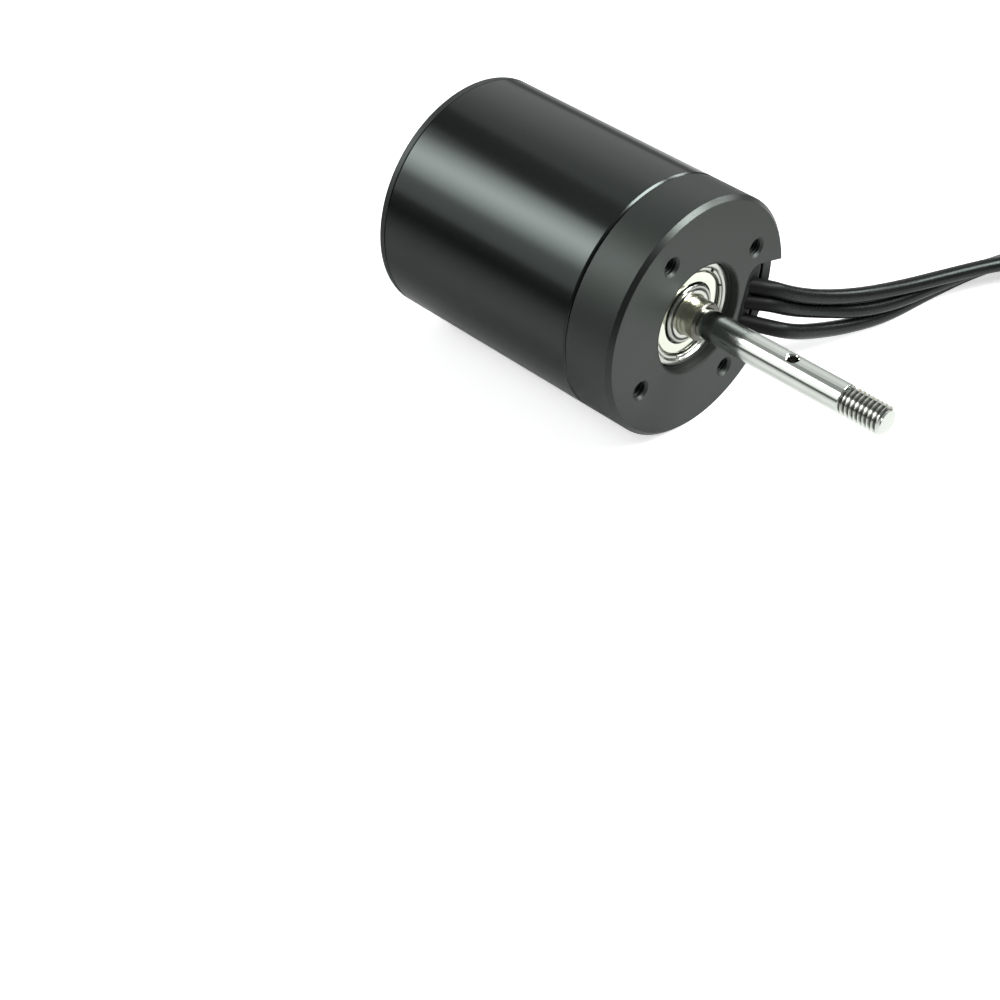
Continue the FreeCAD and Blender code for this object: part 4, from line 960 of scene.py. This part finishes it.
def tieBolt(number):    # socket head with a knurled rim, plain shank, thread at the far end
    mesh = bmesh.new()
    steps, top, seat = bolt["steps"], bolt["top"], boltHole["seat"]
    addTurned(mesh, [(top, 0), (top, 1.35), (top, 2.0, 0.1), (top + 0.3, bolt["head"]),
                     (seat - 0.2, bolt["head"]), (seat, bolt["head"] - 0.1), (seat, bolt["shank"]),
                     (bolt["thread"] - 0.3, bolt["shank"])], steps)
    for vertex in mesh.verts:    # every second point of the rim goes in
        turn = round(math.atan2(vertex.co.z, vertex.co.y) * steps / (2 * math.pi))
        if vertex.co.yz.length > (bolt["head"] - 0.02) * mm and turn % 2:
            vertex.co.yz *= bolt["knurl"]
    addThread(mesh, bolt["thread"], bolt["tip"] - 0.3, bolt["pitch"], bolt["root"], bolt["shank"], steps,
              bolt["shank"], lambda x: 1.0 + 1.2 * (bolt["tip"] - x), 0.3)
    addTurned(mesh, [(bolt["thread"] - 0.3, bolt["shank"]), (bolt["thread"], bolt["shank"])], steps)
    addTurned(mesh, [(bolt["tip"] - 0.3, 1.0), (bolt["tip"], bolt["tipRadius"]), (bolt["tip"], 0)], steps)
    piece = pieceOf("tieBolt%d" % number, mesh)
    corner = bolt["key"] / 2 / math.cos(math.pi / 6)
    sixth = math.pi / 3
    hexagon = [(corner * math.cos(sixth * index), corner * math.sin(sixth * index)) for index in range(6)]
    cone = turned("keyMouth", [(top - 1, 0), (top - 1, 2.2), (top + 0.2, 1.0), (top + 0.2, 0)], 36)
    cut(piece, [prism("keyTool", hexagon, top - 1, top + bolt["keyDeep"]), cone])
    return piece


bolts = bmesh.new()
for number, angle in enumerate(boltAngles):    # each is tightened to another angle
    made = moved(tieBolt(number), rolled(0.4 * number), shifted(0, boltHole["circle"]), rolled(angle))
    bolts.from_mesh(made.data)
    bpy.data.objects.remove(made)
dress(pieceOf("tieBolts", bolts), "housing", oxideSteel, "bolt_steel", "tie_bolts")
print("tie bolts made")


# finishes of the parts whose solids stay

springSteel = facedSteel("temperedSpringSteel", colour=0.42, roughness=0.24, tint=(1, 0.97, 0.92))
coreSteel = sheetStack()
ivory = mouldedPlastic("ivoryMoulding", colour=(0.80, 0.77, 0.68), roughness=0.45, speckle=0.10)
paper = slotPaper()
copper = enamelledWire()
board = glassBoard()
sleeveSteel = facedSteel("sleeveSteel", colour=0.60, roughness=0.22, tint=(1, 1, 0.98), depth=0.002)
magnet = grainyMetal("nickelPlatedMagnet", colour=0.56, tint=(1, 0.98, 0.94), roughness=0.28, scale=2200,
                     depth=0.004)
brass = facedSteel("turnedBrass", colour=0.85, roughness=0.22, tint=(0.86, 0.64, 0.32), depth=0.003)
ballSteel = grainyMetal("ballSteel", colour=0.80, tint=(1, 1, 1), roughness=0.09, scale=3000, depth=0.0004)
cageSteel = grainyMetal("pressedCageSteel", colour=0.62, tint=(1, 0.99, 0.95), roughness=0.26, scale=1800,
                        depth=0.004)
nylon = mouldedPlastic("blackNylon", colour=(0.022, 0.022, 0.022), roughness=0.42, speckle=0.12)
innerFinishes = (
    (sealRubber, "front_o_ring", "rear_o_ring", "shaft_seal"),
    (springSteel, "seal_spring", "preload_washer"),
    (coreSteel, "stator_core", "rotor_core"),
    (ivory, "front_insulator", "rear_insulator"),
    (paper, "slot_liners"),
    (copper, "phase_a_coils", "phase_b_coils", "phase_c_coils", "phase_tails"),
    (board, "termination_ring"),
    (sleeveSteel, "magnet_sleeve"),
    (magnet, "rotor_magnets"),
    (brass, "front_end_plate", "rear_end_plate"),
    (ballSteel, "front_bearing_balls", "rear_bearing_balls"),
    (cageSteel, "front_bearing_cage", "rear_bearing_cage"),
    (nylon, "lead_tie"),
)
for material, *names in innerFinishes:
    for name in names:
        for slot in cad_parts[name].material_slots:
            slot.material = material
print("inner parts finished")


# floor and end; the floor's level is in millimetres, its other lengths are metres

floorLook = {"level": -25.05, "half": 3, "pool": (0.022, 0.024), "poolFrom": 0.022, "poolTo": 0.06,
             "paintedPoolGlow": 0.14, "stretch": 0.5, "reach": 0.4, "roughness": 0.8, "glow": 0.62, "paper": (0.84, 0.88),
             "shades": ((0.12, 0.76), (0.22, 0.66), (0.45, 0.34), (0.68, 0.14), (1, 0.10))}


def floorFinish():    # pale paper: even to a lens, while in what the metal mirrors it is painted darker away from the motor, with a painted pool of light beside it
    finish = Finish("paleFloor", Emission_Strength=1.0, Roughness=floorLook["roughness"])
    x, y, z = finish.axes()
    beyond = y * (1 - floorLook["stretch"] * (y > 0))
    away = (x * x + beyond * beyond) ** 0.5
    # the floor glows in a painted pool of light beside the motor, for every ray but the camera's
    fromPool = ((x - floorLook["pool"][0]) ** 2 + (y - floorLook["pool"][1]) ** 2) ** 0.5
    pool = (fromPool - floorLook["poolFrom"]) / (floorLook["poolTo"] - floorLook["poolFrom"])
    # base colour painted darker away from the motor: painted falloff of the light, seen in reflections
    stops = [(place, grey(shade)) for place, shade in floorLook["shades"]]
    finish.feed("Base Color", finish.ramp(away / floorLook["reach"], *stops))
    finish.feed("Emission Color", finish.ramp(pool, (0, grey(floorLook["paintedPoolGlow"])), (1, grey(0.0))))
    lens = finish.node("ShaderNodeLightPath", output="Is Camera Ray")
    finish.mixIn(lens, Roughness=floorLook["roughness"], Emission_Strength=floorLook["glow"],
                 Emission_Color=grey(1))
    dark, pale = floorLook["paper"]
    finish.feed("Base Color", finish.blend(finish.noise(3), grey(dark), grey(pale)))
    return finish.material


floorMesh = bmesh.new()
bmesh.ops.create_grid(floorMesh, x_segments=1, y_segments=1, size=floorLook["half"])
floor = moved(pieceOf("studioFloor", floorMesh), shifted(0, 0, floorLook["level"]))
floor.data.materials.append(floorFinish())

print("pieces dressed")
